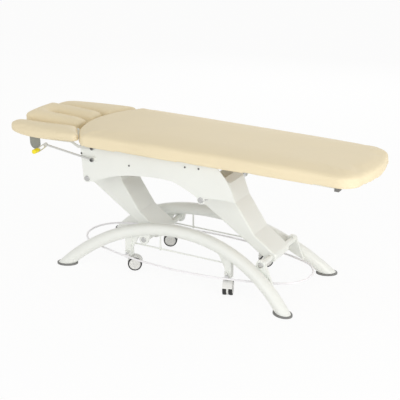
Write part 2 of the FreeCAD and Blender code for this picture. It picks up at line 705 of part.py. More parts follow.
def lift_axes():
    """Unit vectors along the leg, from lower to upper pivot, and square to it towards the leg's back."""
    along = V(-LINK_BACK / LINK_LENGTH, 0, LINK_RISE / LINK_LENGTH)
    return along, V(-along.z, 0, along.x)


def crank_pin_point():
    along, back = lift_axes()
    return V(TAIL_PIVOT_X, 0, LOWER_PIVOT_Z) + back * CRANK_R


def lift_crank():
    """The arm on the tail shaft that the actuator pushes against, with its pin."""
    pin = crank_pin_point()
    half = CRANK_T / 2
    arms = []
    for side in SIDES.values():
        y0, y1 = side * (half + FREE_GAP), side * (half + FREE_GAP + CRANK_T / 2)
        along, back = lift_axes()
        root = V(TAIL_PIVOT_X, 0, LOWER_PIVOT_Z)
        corners = [root + along * SHAFT_R, pin + along * CRANK_PIN_R * 1.6,
                   pin - along * CRANK_PIN_R * 1.6, root - along * SHAFT_R]
        arms.append(slab([(c.x, c.z) for c in corners], y0, y1))
        arms.append(across(pin.x, pin.z, CRANK_PIN_R * 1.6, y0, y1))
    reach = half + FREE_GAP + CRANK_T / 2
    return fused(across(pin.x, pin.z, CRANK_PIN_R, -reach, reach), *arms)


def build_actuator():
    """Motor housing and tube fixed in the tail leg, and the rod whose slotted eye takes the crank pin."""
    along, back = lift_axes()
    pin = crank_pin_point()
    top = pin + along * (LINK_LENGTH - MOTOR_SETBACK)
    tube_start, tube_end = pin + along * ACTUATOR_TUBE_START, top - along * (MOTOR_LENGTH / 2)
    tube_length = (tube_end - tube_start).Length
    tube = rod(tube_start, tube_end, ACTUATOR_TUBE_R)
    save("lift_tube", tube.cut(rod(tube_start, tube_end - along * BUSH_WALL, ACTUATOR_BORE_R)))
    motor = rod(top - along * (MOTOR_LENGTH / 2), top + along * (MOTOR_LENGTH / 2), MOTOR_R)
    motor = motor.makeFillet(CAP_EDGE * 2, [edge for edge in motor.Edges if edge.Closed])
    trunnion = across(top.x, top.z, SHAFT_R, -LEG_HALF_W + LEG_WALL, LEG_HALF_W - LEG_WALL)
    save("lift_motor", fused(motor, trunnion))
    slot_half = ROD_EYE_SLOT
    eye = across(pin.x, pin.z, ROD_EYE_R, -CRANK_T / 2, CRANK_T / 2)
    slot_ends = [pin + back * slot_half, pin - back * slot_half]
    slot = [across(p.x, p.z, CRANK_PIN_R + ROD_EYE_SLOT / 3, -CRANK_T / 2, CRANK_T / 2) for p in slot_ends]
    wide = CRANK_PIN_R + ROD_EYE_SLOT / 3
    corners = [slot_ends[0] + along * wide, slot_ends[1] + along * wide,
               slot_ends[1] - along * wide, slot_ends[0] - along * wide]
    bridge = slab([(c.x, c.z) for c in corners], -CRANK_T / 2, CRANK_T / 2)
    bar = rod(pin + along * (wide + BUSH_WALL), tube_end - along * (tube_length / 3), ACTUATOR_ROD_R)
    eye = eye.cut(fused(slot[0], slot[1], bridge))
    flats = box(pin.x - TABLE_LENGTH, pin.x + TABLE_LENGTH, -CRANK_T / 2, CRANK_T / 2, 0, TABLE_LENGTH)
    neck_start, neck_end = pin + along * (wide + BUSH_WALL), pin + along * (ROD_EYE_R + CRANK_R)
    neck = rod(neck_start, neck_end, ACTUATOR_ROD_R).common(flats)
    bar = bar.cut(rod(pin, pin + along * (ROD_EYE_R + CRANK_R), ACTUATOR_TUBE_R))
    save("lift_rod", fused(eye, neck, bar))


def build_legs():
    for end, x in LOWER_PIVOTS.items():
        shell = leg_shell(x)
        save(end + "_leg", shell if end == "head" else shell.cut(crank_slot(x)))
        save(end + "_leg_bushes", *leg_bushes(x, RUNNING_GAP if end == "head" else FREE_GAP))
    build_actuator()


# Top frame

def plate_outline(y):
    """The near side plate: a foot at each upper pivot and a shallow arch between them."""
    head_x, tail_x = HEAD_PIVOT_X - LINK_BACK, TAIL_PIVOT_X - LINK_BACK
    top = CUSHION_BOTTOM_Z
    head_foot, tail_foot = top - PLATE_HEAD_FOOT_DROP, top - PLATE_TAIL_FOOT_DROP
    waist = top - PLATE_WAIST_DROP
    waist_left, waist_right = head_x + PLATE_WAIST_LEFT_REACH, tail_x - PLATE_WAIST_RIGHT_REACH
    p = {
        "top_left": V(head_x - PLATE_TOP_LEFT_REACH, y, top),
        "foot_left": V(head_x - PLATE_BOTTOM_LEFT_REACH, y, head_foot),
        "foot_right": V(head_x + 2 * PLATE_PIVOT_R, y, head_foot),
        "waist_left": V(waist_left, y, waist - PLATE_WAIST_LEFT_DIP),
        "waist_right": V(waist_right, y, waist - PLATE_WAIST_RIGHT_DIP),
        "tail_left": V(tail_x - PLATE_PIVOT_R * 0.5, y, tail_foot),
        "tail_right": V(tail_x + PLATE_HEEL_REACH, y, tail_foot + PLATE_HEEL_RISE),
        "top_right": V(tail_x + PLATE_TOP_RIGHT_REACH, y, top),
    }
    rise = V(0.5 * (p["foot_right"].x + waist_left), y, head_foot + PLATE_RISE_SHARE * (waist - head_foot))
    crest = V(0.5 * (waist_left + waist_right), y, waist)
    fall = V(0.5 * (waist_right + p["tail_left"].x), y, tail_foot + PLATE_FALL_SHARE * (waist - tail_foot))
    sole = V(0.5 * (p["tail_left"].x + p["tail_right"].x), y, tail_foot + PLATE_SOLE_RISE)
    heel = 0.5 * (p["tail_right"] + p["top_right"]) + V(PLATE_HEEL_BULGE[0], 0, PLATE_HEEL_BULGE[1])
    return Part.Wire([
        Part.LineSegment(p["top_left"], p["foot_left"]).toShape(),
        Part.LineSegment(p["foot_left"], p["foot_right"]).toShape(),
        Part.Arc(p["foot_right"], rise, p["waist_left"]).toShape(),
        Part.Arc(p["waist_left"], crest, p["waist_right"]).toShape(),
        Part.Arc(p["waist_right"], fall, p["tail_left"]).toShape(),
        Part.Arc(p["tail_left"], sole, p["tail_right"]).toShape(),
        Part.Arc(p["tail_right"], heel, p["top_right"]).toShape(),
        Part.LineSegment(p["top_right"], p["top_left"]).toShape(),
    ])


def side_plate():
    """The near side plate with its inward top flange."""
    sheet = Part.Face(plate_outline(-PLATE_OUTER_Y)).extrude(V(0, PLATE_T, 0))
    left = HEAD_PIVOT_X - LINK_BACK - PLATE_TOP_LEFT_REACH
    right = TAIL_PIVOT_X - LINK_BACK + PLATE_TOP_RIGHT_REACH
    flange = box(left, right, -PLATE_OUTER_Y, -PLATE_OUTER_Y + PLATE_FLANGE_W,
                 CUSHION_BOTTOM_Z - PLATE_T, CUSHION_BOTTOM_Z)
    plate = fused(sheet, flange)
    for x in LOWER_PIVOTS.values():
        boss = across(x - LINK_BACK, UPPER_PIVOT_Z, PLATE_PIVOT_R, -PLATE_OUTER_Y, -PLATE_INNER_Y)
        plate = plate.fuse(boss)
        plate = plate.cut(across(x - LINK_BACK, UPPER_PIVOT_Z, SHAFT_R, -PLATE_OUTER_Y, -PLATE_INNER_Y))
    for z in (ARM_UPPER_Z, ARM_LOWER_Z):
        plate = plate.cut(across(ARM_PIVOT_X, z, ARM_PIN_R, -PLATE_OUTER_Y, -PLATE_INNER_Y))
    return plate.removeSplitter()


def plate_bolts():
    """Small pan-head screws on the near plate's outer face, placed from the upper pivots."""
    bolts = []
    for end, ahead, drop in PLATE_BOLTS:
        x, z = LOWER_PIVOTS[end] - LINK_BACK + ahead, CUSHION_BOTTOM_Z - drop
        bolts.append(across(x, z, PLATE_BOLT_R, -PLATE_OUTER_Y - PLATE_BOLT_HEAD_T, -PLATE_OUTER_Y))
    return bolts


def arm_pivot_bolts():
    """Boss, pin and bolt head of the near armrest's two fixed pivots."""
    solids = []
    seats = (ARM_UPPER_Z, ARM_INNER_Y, ARM_OUTER_Y), (ARM_LOWER_Z, STAY_INNER_Y, STAY_OUTER_Y)
    for z, inner, outer in seats:
        boss = across(ARM_PIVOT_X, z, ARM_BOSS_R, -inner + ARM_SIDE_GAP, -PLATE_OUTER_Y)
        face = -outer - ARM_SIDE_GAP
        pin = across(ARM_PIVOT_X, z, ARM_PIN_R, face, -PLATE_INNER_Y)
        head = across(ARM_PIVOT_X, z, ARM_BOLT_HEAD_R, face - ARM_BOLT_HEAD_T, face)
        solids.append(fused(boss, pin, head))
    return solids


def main_outline(z):
    """The main cushion seen from above: round head end, gently tapered sides, softly squared tail end."""
    hx, hw = MAIN_HEAD_SHOULDER_X, MAIN_HEAD_HALF_W
    end_x = TABLE_LENGTH / 2
    tx, tw = end_x - MAIN_TAIL_SHOULDER_INSET, MAIN_TAIL_HALF_W
    cx, cy = end_x - MAIN_TAIL_CORNER_INSET, MAIN_TAIL_CORNER_Y
    sx, sy = end_x - MAIN_TAIL_SWELL_INSET, MAIN_TAIL_SWELL_Y
    return Part.Wire([
        Part.Arc(V(hx, hw, z), V(MAIN_HEAD_X, 0, z), V(hx, -hw, z)).toShape(),
        Part.LineSegment(V(hx, -hw, z), V(tx, -tw, z)).toShape(),
        Part.Arc(V(tx, -tw, z), V(sx, -sy, z), V(cx, -cy, z)).toShape(),
        Part.Arc(V(cx, -cy, z), V(end_x, 0, z), V(cx, cy, z)).toShape(),
        Part.Arc(V(cx, cy, z), V(sx, sy, z), V(tx, tw, z)).toShape(),
        Part.LineSegment(V(tx, tw, z), V(hx, hw, z)).toShape(),
    ])


def inset(wire, amount):
    return wire.makeOffset2D(-amount) if amount else wire


def padded_form(outline, bottom, top, round_off, crown, crown_inset):
    """A pad lofted through insets of its outline: drawn-in sides, rounded shoulders and a low crown."""
    height = top - bottom
    rim = height - crown
    levels = [
        (0.0, 0.35 * round_off), (0.12 * height, CUSHION_DRAW_IN * 0.3), (0.4 * height, CUSHION_DRAW_IN),
        (rim - round_off, 0.0), (rim - 0.42 * round_off, 0.22 * round_off),
        (rim, 0.9 * round_off), (height, crown_inset),
    ]
    wires = [outline(bottom + rise, amount) for rise, amount in levels]
    return Part.makeLoft(wires, True, True)


def main_board():
    """Plywood base in the underside of the main cushion."""
    return Part.Face(inset(main_outline(CUSHION_BOTTOM_Z), BOARD_INSET)).extrude(V(0, 0, BOARD_T))


def main_cushion():
    pad = padded_form(lambda z, amount: inset(main_outline(z), amount), CUSHION_BOTTOM_Z, TOP_HEIGHT,
                      CUSHION_ROUND, CUSHION_CROWN, CUSHION_CROWN_INSET)
    return pad.cut(main_board())


def hollow_bar(x0, x1, y0, y1, z0, z1, along_x):
    """A rectangular tube."""
    w = RAIL_WALL
    if along_x:
        return box(x0, x1, y0, y1, z0, z1).cut(box(x0, x1, y0 + w, y1 - w, z0 + w, z1 - w))
    return box(x0, x1, y0, y1, z0, z1).cut(box(x0 + w, x1 - w, y0, y1, z0 + w, z1 - w))


def end_cap():
    """A plastic block on the near rail's tail end, chamfered at the front."""
    x0, x1 = RAIL_TAIL_X, RAIL_TAIL_X + END_CAP_LENGTH
    low = RAIL_BOTTOM_Z - END_CAP_DROP
    outline = [(x0, low), (x1 - END_CAP_SLOPE, low), (x1, CUSHION_BOTTOM_Z - END_CAP_DROP / 2),
               (x1, CUSHION_BOTTOM_Z), (x0, CUSHION_BOTTOM_Z)]
    return slab(outline, -RAIL_OUTER_Y, -RAIL_OUTER_Y + RAIL_W)


def hinge_arms():
    """Arms from the head cross bar to the headrest's hinge, with the hinge pins."""
    x0 = HEAD_BAR_X - CROSS_BAR_W / 2
    y0 = -HINGE_ARM_Y - HINGE_EAR_T
    low, high = RAIL_BOTTOM_Z, CUSHION_BOTTOM_Z - FREE_GAP
    outline = [(x0, low), (x0, high), (HEADREST_HINGE_X + HINGE_EAR_R, high),
               (HEADREST_HINGE_X + HINGE_EAR_R, HEADREST_HINGE_Z),
               (HEADREST_HINGE_X - HINGE_EAR_R, HEADREST_HINGE_Z),
               (HEADREST_HINGE_X - HINGE_EAR_R, low)]
    eye = across(HEADREST_HINGE_X, HEADREST_HINGE_Z, HINGE_EAR_R, y0, -HINGE_ARM_Y)
    arm = fused(slab(outline, y0, -HINGE_ARM_Y), eye)
    pin_end_y = -HINGE_ARM_Y + HINGE_SIDE_GAP + HINGE_EAR_T
    pin = across(HEADREST_HINGE_X, HEADREST_HINGE_Z, HINGE_PIN_R, y0, pin_end_y)
    return fused(arm, pin)


def build_top():
    plate = side_plate()
    bolts = plate_bolts()
    arm_bolts = arm_pivot_bolts()
    caps = [pivot_cap(x - LINK_BACK, UPPER_PIVOT_Z, -PLATE_OUTER_Y) for x in LOWER_PIVOTS.values()]
    rail = hollow_bar(RAIL_HEAD_X, RAIL_TAIL_X, -RAIL_OUTER_Y, -RAIL_OUTER_Y + RAIL_W,
                      RAIL_BOTTOM_Z, CUSHION_BOTTOM_Z, True)
    for side, on_side in (("near", lambda shape: shape), ("far", mirrored)):
        save(side + "_side_plate", on_side(plate))
        save(side + "_rail", on_side(rail))
        save(side + "_end_cap", on_side(end_cap()))
        save(side + "_arm_pivots", *[on_side(solid) for solid in arm_bolts])
        save(side + "_headrest_hinge", on_side(hinge_arms()))
    save("plate_screws", *bolts, *[mirrored(bolt) for bolt in bolts])
    save("upper_pivot_caps", *caps, *[mirrored(cap) for cap in caps])
    inner = RAIL_OUTER_Y - RAIL_W
    bars = {"head": HEAD_BAR_X, "middle": MIDDLE_BAR_X, "tail": RAIL_TAIL_X - TAIL_BAR_INSET}
    for name, x in bars.items():
        half = CROSS_BAR_W / 2
        bar = hollow_bar(x - half, x + half, -inner, inner, RAIL_BOTTOM_Z, CUSHION_BOTTOM_Z, False)
        save(name + "_cross_bar", bar)
    for end, x in LOWER_PIVOTS.items():
        shaft = across(x - LINK_BACK, UPPER_PIVOT_Z, SHAFT_R, -PLATE_OUTER_Y, PLATE_OUTER_Y)
        save(end + "_upper_shaft", shaft)
    length, width, height = CONTROL_BOX
    unit = box(CONTROL_BOX_X, CONTROL_BOX_X + length, -width / 2, width / 2,
               CUSHION_BOTTOM_Z - height, CUSHION_BOTTOM_Z)
    save("control_box", unit.makeFillet(CAP_EDGE * 3, long_edges(unit, Z_AXIS, height / 2)))
    save("main_board", main_board())
    save("main_cushion", main_cushion())


# Headrest

def quarter(centre, start, end):
    """A quarter arc between two points about a centre."""
    middle = (start + end) * 0.5 - centre
    radius = (start - centre).Length
    return Part.Arc(start, centre + middle.normalize() * radius, end).toShape()


def headrest_outline(z, amount):
    """The headrest from above, level: round outer end and a face slot that opens towards the main cushion."""
    x0, x1, w = HEADREST_LEFT_X + amount, HEADREST_RIGHT_X - amount, HEADREST_HALF_W - amount
    s, sx = HEADREST_SLOT_HALF_W + amount, HEADREST_SLOT_X
    r, c = max(HEADREST_CORNER_R - amount, TOP_CORNER_R), max(HEADREST_TIP_R - amount, TOP_CORNER_R)
    edges = []
    for sign in (1.0, -1.0):
        edges.append([
            Part.LineSegment(V(x0, 0, z), V(x0, sign * (w - r), z)).toShape(),
            quarter(V(x0 + r, sign * (w - r), z), V(x0, sign * (w - r), z), V(x0 + r, sign * w, z)),
            Part.LineSegment(V(x0 + r, sign * w, z), V(x1 - c, sign * w, z)).toShape(),
            quarter(V(x1 - c, sign * (w - c), z), V(x1 - c, sign * w, z), V(x1, sign * (w - c), z)),
            Part.LineSegment(V(x1, sign * (w - c), z), V(x1, sign * (s + c), z)).toShape(),
            quarter(V(x1 - c, sign * (s + c), z), V(x1, sign * (s + c), z), V(x1 - c, sign * s, z)),
            Part.LineSegment(V(x1 - c, sign * s, z), V(sx, sign * s, z)).toShape(),
            quarter(V(sx, 0, z), V(sx, sign * s, z), V(sx - s, 0, z)),
        ])
    return Part.Wire(edges[0] + edges[1][::-1])


def tilted(shape):
    """A piece of the headrest turned about the hinge to its raised rest pose."""
    shape.rotate(V(HEADREST_HINGE_X, 0, HEADREST_HINGE_Z), Y_AXIS, HEADREST_TILT)
    return shape


def build_headrest():
    top = TOP_HEIGHT
    bottom = top - HEADREST_T
    pad = padded_form(headrest_outline, bottom, top, HEADREST_ROUND, HEADREST_CROWN, HEADREST_CROWN_INSET)
    save("headrest_cushion", tilted(pad))
    plate = Part.Face(headrest_outline(bottom - HEADREST_PLATE_T, BOARD_INSET / 2))
    plate = plate.extrude(V(0, 0, HEADREST_PLATE_T))
    ear_y = HINGE_ARM_Y - HINGE_SIDE_GAP
    ears = []
    for side in SIDES.values():
        y0, y1 = side * (ear_y - HINGE_EAR_T), side * ear_y
        reach = HEADREST_HINGE_X - 3 * HINGE_EAR_R
        outline = [(reach, bottom - HEADREST_PLATE_T), (HEADREST_HINGE_X, bottom - HEADREST_PLATE_T),
                   (HEADREST_HINGE_X + HINGE_EAR_R * 0.9, HEADREST_HINGE_Z),
                   (HEADREST_HINGE_X - HINGE_EAR_R, HEADREST_HINGE_Z),
                   (reach, bottom)]
        ear = fused(slab(outline, y0, y1), across(HEADREST_HINGE_X, HEADREST_HINGE_Z, HINGE_EAR_R, y0, y1))
        strap = box(reach, HEADREST_HINGE_X - HINGE_EAR_R, side * (HEADREST_HALF_W - BOARD_INSET), y1,
                    bottom - HEADREST_PLATE_T, bottom - FREE_GAP)
        bore = across(HEADREST_HINGE_X, HEADREST_HINGE_Z, HINGE_PIN_R + RUNNING_GAP, y0, y1)
        ears.append(fused(ear, strap).cut(bore))
    save("headrest_plate", tilted(fused(plate, *ears)))


# Armrests

def side_line(start, end, amount):
    """A side of a counter-clockwise outline moved inwards: a point on it and its direction."""
    run = V(end[0] - start[0], end[1] - start[1], 0).normalize()
    return V(start[0], start[1], 0) + V(-run.y, run.x, 0) * amount, run


def crossing(first, second):
    """The point where two lines meet."""
    (p, d), (q, e) = first, second
    gap = q - p
    return p + d * ((gap.x * e.y - gap.y * e.x) / (d.x * e.y - d.y * e.x))


def rounded_outline(corners, z, amount):
    """A convex counter-clockwise outline of (x, y, radius) corners, moved inwards by an amount."""
    count = len(corners)
    lines = [side_line(corners[i], corners[(i + 1) % count], amount) for i in range(count)]
    points = [crossing(lines[i - 1], lines[i]) for i in range(count)]
    starts, ends, middles = [], [], []
    for i in range(count):
        back, ahead = lines[i - 1][1] * -1.0, lines[i][1]
        radius = max(corners[i][2] - amount, TOP_CORNER_R)
        half = back.getAngle(ahead) / 2
        inward = (back + ahead).normalize()
        starts.append(points[i] + back * (radius / math.tan(half)))
        ends.append(points[i] + ahead * (radius / math.tan(half)))
        middles.append(points[i] + inward * (radius / math.sin(half) - radius))
    lift = V(0, 0, z)
    edges = []
    for i in range(count):
        edges.append(Part.Arc(starts[i] + lift, middles[i] + lift, ends[i] + lift).toShape())
        edges.append(Part.LineSegment(ends[i] + lift, starts[(i + 1) % count] + lift).toShape())
    return Part.Wire(edges)


def armrest_outline(z, amount):
    """The near armrest from above: a long pad, its inner end cut back beside the main cushion's end."""
    corners = [
        (ARMREST_LEFT_X, -ARMREST_OUTER_Y, ARMREST_CORNER_R),
        (ARMREST_OUTER_RIGHT_X, -ARMREST_OUTER_Y, ARMREST_TIP_R),
        (ARMREST_INNER_RIGHT_X, -ARMREST_INNER_Y, ARMREST_TIP_R),
        (ARMREST_LEFT_X, -ARMREST_INNER_Y, ARMREST_CORNER_R),
    ]
    return rounded_outline(corners, z, amount)


def lowered(shape):
    """A piece of the armrest turned about the upper boss to its slightly lowered rest pose."""
    shape.rotate(V(ARM_PIVOT_X, 0, ARM_UPPER_Z), Y_AXIS, ARMREST_TILT)
    return shape


def clamp_point():
    """Where the knob's screw crosses the stay, in the rest pose."""
    turn = math.radians(ARMREST_TILT)
    x = KNOB_REACH * math.cos(turn) - KNOB_DROP * math.sin(turn)
    z = -KNOB_REACH * math.sin(turn) - KNOB_DROP * math.cos(turn)
    return V(ARM_PIVOT_X + x, 0, ARM_UPPER_Z + z)


def armrest_bracket():
    """A flat arm from the upper boss along the pad's underside, with a cheek, a flange and the clamp screw."""
    y0, y1 = -ARM_OUTER_Y, -ARM_INNER_Y
    x, z, top = ARM_PIVOT_X, ARM_UPPER_Z, ARMREST_BOTTOM_Z
    half = ARM_BAR_H / 2
    level_x = x - ARM_LEVEL_LENGTH
    rise_x = level_x - ARM_RISE_LENGTH
    arm = slab([(x, z + half), (level_x, z + half), (rise_x, top), (x + BRACKET_LEFT, top),
                (x + BRACKET_LEFT, top - ARM_BAR_H), (rise_x, top - ARM_BAR_H),
                (level_x, z - half), (x, z - half)],
               y0, y1)
    eye = across(x, z, ARM_EYE_R, y0, y1)
    radius = (BRACKET_RIGHT - BRACKET_LEFT) / 2
    foot_z = top - BRACKET_DEPTH + radius
    cheek = box(x + BRACKET_LEFT, x + BRACKET_RIGHT, y0, y1, foot_z, top)
    foot = across(x + BRACKET_LEFT + radius, foot_z, radius, y0, y1)
    flange_y = -ARMREST_INNER_Y - BRACKET_FLANGE_INSET
    flange = box(x + BRACKET_LEFT, x + BRACKET_RIGHT, y0, flange_y, top - ARM_T, top)
    screw = across(x + KNOB_REACH, z - KNOB_DROP, ARM_PIN_R, -STAY_OUTER_Y - ARM_SIDE_GAP, y1)
    bore = across(x, z, ARM_PIN_R + RUNNING_GAP, y0, y1)
    return lowered(fused(arm, eye, cheek, foot, flange, screw).cut(bore))


def knob():
    """The near armrest's clamp knob on the end of the screw: a collar and a long rounded grip."""
    x, z = ARM_PIVOT_X + KNOB_REACH, ARM_UPPER_Z - KNOB_DROP
    face = -STAY_OUTER_Y - ARM_SIDE_GAP
    collar = across(x, z, KNOB_COLLAR_R, face - KNOB_COLLAR_T, face)
    grip = across(x, z, KNOB_R, face - KNOB_COLLAR_T - KNOB_LENGTH, face - KNOB_COLLAR_T)
    grip = grip.makeFillet(KNOB_R / 2, [edge for edge in grip.Edges if edge.Closed])
    return lowered(fused(collar, grip))


def stay():
    """The near armrest's stay: an eye on the lower boss, a round rod and a flat end slotted for the screw."""
    y0, y1 = -STAY_OUTER_Y, -STAY_INNER_Y
    middle_y = (y0 + y1) / 2
    root = V(ARM_PIVOT_X, middle_y, ARM_LOWER_Z)
    bend = root + V(STAY_BEND[0], 0, STAY_BEND[1])
    clamp = clamp_point()
    clamp.y = middle_y
    run = (clamp - bend).normalize()
    side = V(-run.z, 0, run.x)
    half = STAY_LEVER_W / 2
    slot_r = ARM_PIN_R + STAY_SLOT_GAP
    slot_start, slot_end = clamp - run * STAY_SLOT_AHEAD, clamp + run * STAY_SLOT_BACK
    lever = [bend + side * half, slot_end + side * half, slot_end - side * half, bend - side * half]
    slot = [slot_start + side * slot_r, slot_end + side * slot_r,
            slot_end - side * slot_r, slot_start - side * slot_r]
    bar = rod(root, bend, STAY_ROD_R).common(box(bend.x, root.x, y0, y1, 0, TOP_HEIGHT))
    whole = fused(across(root.x, root.z, STAY_EYE_R, y0, y1), bar, slab([(c.x, c.z) for c in lever], y0, y1),
                  across(bend.x, bend.z, half, y0, y1), across(slot_end.x, slot_end.z, half, y0, y1))
    whole = whole.cut(slab([(c.x, c.z) for c in slot], y0, y1))
    for end in (slot_start, slot_end):
        whole = whole.cut(across(end.x, end.z, slot_r, y0, y1))
    return whole.cut(across(root.x, root.z, ARM_PIN_R + RUNNING_GAP, y0, y1))


def build_armrests():
    pad = lowered(padded_form(armrest_outline, ARMREST_BOTTOM_Z, ARMREST_BOTTOM_Z + ARMREST_T, ARMREST_ROUND,
                              ARMREST_CROWN, ARMREST_CROWN_INSET))
    bracket = armrest_bracket()
    for side, on_side in (("near", lambda shape: shape), ("far", mirrored)):
        save(side + "_armrest_cushion", on_side(pad))
        save(side + "_armrest_bracket", on_side(bracket))
        save(side + "_armrest_stay", on_side(stay()))
        save(side + "_lock_knob", on_side(knob()))


build_base()
build_castors()
build_ring()
build_legs()
build_top()
build_headrest()
build_armrests()
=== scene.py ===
# %% [markdown]
# # A treatment table, dressed around its CAD frame
# The table stands on two arched tubes. Two parallel legs lift a padded top, with a headrest and two
# armrests at its head end. Most hard parts come from CAD and only need finishes. The pads, the castor
# wheels and the screw heads are made here, because they are soft or need finer detail.

# %% Load the frame
import json
import math

import bmesh
import bpy
from mathutils import Matrix, Vector


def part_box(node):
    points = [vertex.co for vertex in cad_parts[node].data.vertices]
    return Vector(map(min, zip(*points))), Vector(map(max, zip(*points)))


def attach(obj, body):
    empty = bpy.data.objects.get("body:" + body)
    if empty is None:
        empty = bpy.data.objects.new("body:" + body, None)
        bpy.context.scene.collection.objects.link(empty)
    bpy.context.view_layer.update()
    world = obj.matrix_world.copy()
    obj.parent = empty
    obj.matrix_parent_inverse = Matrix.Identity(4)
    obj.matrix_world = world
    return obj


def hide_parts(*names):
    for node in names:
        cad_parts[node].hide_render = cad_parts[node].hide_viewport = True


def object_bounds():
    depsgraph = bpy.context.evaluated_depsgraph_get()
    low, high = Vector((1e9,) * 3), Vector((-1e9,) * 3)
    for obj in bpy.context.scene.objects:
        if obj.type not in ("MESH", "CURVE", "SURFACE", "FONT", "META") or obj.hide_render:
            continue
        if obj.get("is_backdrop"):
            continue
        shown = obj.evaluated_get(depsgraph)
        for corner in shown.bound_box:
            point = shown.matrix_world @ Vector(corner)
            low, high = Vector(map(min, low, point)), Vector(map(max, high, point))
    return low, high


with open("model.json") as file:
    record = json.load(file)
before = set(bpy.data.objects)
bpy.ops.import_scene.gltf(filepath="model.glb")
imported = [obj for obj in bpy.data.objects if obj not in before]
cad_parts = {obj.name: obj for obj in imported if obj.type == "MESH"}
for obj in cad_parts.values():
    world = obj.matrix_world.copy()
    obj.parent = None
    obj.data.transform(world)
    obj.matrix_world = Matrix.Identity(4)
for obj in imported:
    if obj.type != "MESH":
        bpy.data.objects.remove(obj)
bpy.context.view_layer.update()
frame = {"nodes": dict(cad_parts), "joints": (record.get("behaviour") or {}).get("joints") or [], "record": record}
nodes = frame["nodes"]
scene = bpy.context.scene

# %% [markdown]
# ## Camera
# The camera was fitted to the tubes, plates and cushion edges of the photograph. It stands at the foot
# end of the near side, a little above the cushion. A long lens keeps the far side nearly as large as the
# near side.

# %% Camera
CAMERA_PLACE = Vector((2.4448, -4.3655, 2.2479))
CAMERA_AIM = Vector((0.025, 0.0, 0.38168))
CAMERA_LENS = 94.54
CAMERA_SENSOR = 36.0


def linked(name, data):
    """A new object of the scene that holds a mesh, a camera or a lamp."""
    thing = bpy.data.objects.new(name, data)
    scene.collection.objects.link(thing)
    return thing


def facing(place, aim):
    """The turn of a camera or a lamp that stands at a place and points at another."""
    return (aim - place).to_track_quat("-Z", "Y").to_euler()


camera_data = bpy.data.cameras.new("camera")
camera_data.lens = CAMERA_LENS
camera_data.sensor_width = CAMERA_SENSOR
camera = linked("camera", camera_data)
camera.location = CAMERA_PLACE
camera.rotation_euler = facing(CAMERA_PLACE, CAMERA_AIM)
scene.camera = camera
print("camera stands", round((CAMERA_AIM - CAMERA_PLACE).length, 3), "m away")

# %% [markdown]
# ## Studio
# The background is white and the light is soft. The world lights the table evenly, and wide lamps give
# the pads and tubes their gentle shading. The world and the floor look white to the camera through Light
# Path, so the whiteness adds no light to the table.

# %% World
WORLD_LEVEL = 0.68
WORLD_TINT = (1.0, 0.99, 0.97, 1.0)
WHITE = (1.0, 1.0, 1.0, 1.0)


def seen_directly(tree):
    """A socket that is 1 on camera, glossy and transmission rays, and 0 on the rays that carry light."""
    path = tree.nodes.new("ShaderNodeLightPath")
    both = tree.nodes.new("ShaderNodeMath")
    both.operation = "MAXIMUM"
    every = tree.nodes.new("ShaderNodeMath")
    every.operation = "MAXIMUM"
    tree.links.new(path.outputs["Is Camera Ray"], both.inputs[0])
    tree.links.new(path.outputs["Is Glossy Ray"], both.inputs[1])
    tree.links.new(both.outputs[0], every.inputs[0])
    tree.links.new(path.outputs["Is Transmission Ray"], every.inputs[1])
    return every.outputs[0]


world = bpy.data.worlds.new("white_studio")
scene.world = world
world.use_nodes = True
tree = world.node_tree
tree.nodes.clear()
light_level = tree.nodes.new("ShaderNodeBackground")
light_level.inputs["Color"].default_value = WORLD_TINT
light_level.inputs["Strength"].default_value = WORLD_LEVEL
seen_level = tree.nodes.new("ShaderNodeBackground")
seen_level.inputs["Color"].default_value = WHITE
seen_level.inputs["Strength"].default_value = 1.0
lit_or_seen = tree.nodes.new("ShaderNodeMixShader")
world_out = tree.nodes.new("ShaderNodeOutputWorld")
tree.links.new(seen_directly(tree), lit_or_seen.inputs["Fac"])
tree.links.new(light_level.outputs[0], lit_or_seen.inputs[1])
tree.links.new(seen_level.outputs[0], lit_or_seen.inputs[2])
tree.links.new(lit_or_seen.outputs[0], world_out.inputs["Surface"])
scene.view_settings.view_transform = "Standard"
print("world lights at", WORLD_LEVEL)

# %% Lamps
# Each lamp has a name, a place, the side of its square in metres and its power in watts.
LAMP_AIM = Vector((0.0, 0.0, 0.5))
LAMPS = (
    ("front_lamp", Vector((-0.2, -4.2, 1.7)), 3.0, 44.0),
    ("foot_lamp", Vector((3.8, -1.2, 0.8)), 2.4, 62.0),
    ("back_lamp", Vector((-1.0, 4.0, 2.2)), 3.0, 30.0),
)
for name, place, size, power in LAMPS:
    lamp_data = bpy.data.lights.new(name, "AREA")
    lamp_data.size = size
    lamp_data.energy = power
    lamp = linked(name, lamp_data)
    lamp.location = place
    lamp.rotation_euler = facing(place, LAMP_AIM)
print("studio has", len(LAMPS), "lamps")

# %% Floor
FLOOR_HALF = 14.0
FLOOR_DROP = 0.0005
FLOOR_COLOUR = (0.93, 0.93, 0.92, 1.0)
SHADOW_SHARE = 0.09


def mesh_from(bm, name):
    """A new mesh that takes over what a bmesh holds."""
    mesh = bpy.data.meshes.new(name)
    bm.to_mesh(mesh)
    bm.free()
    return mesh


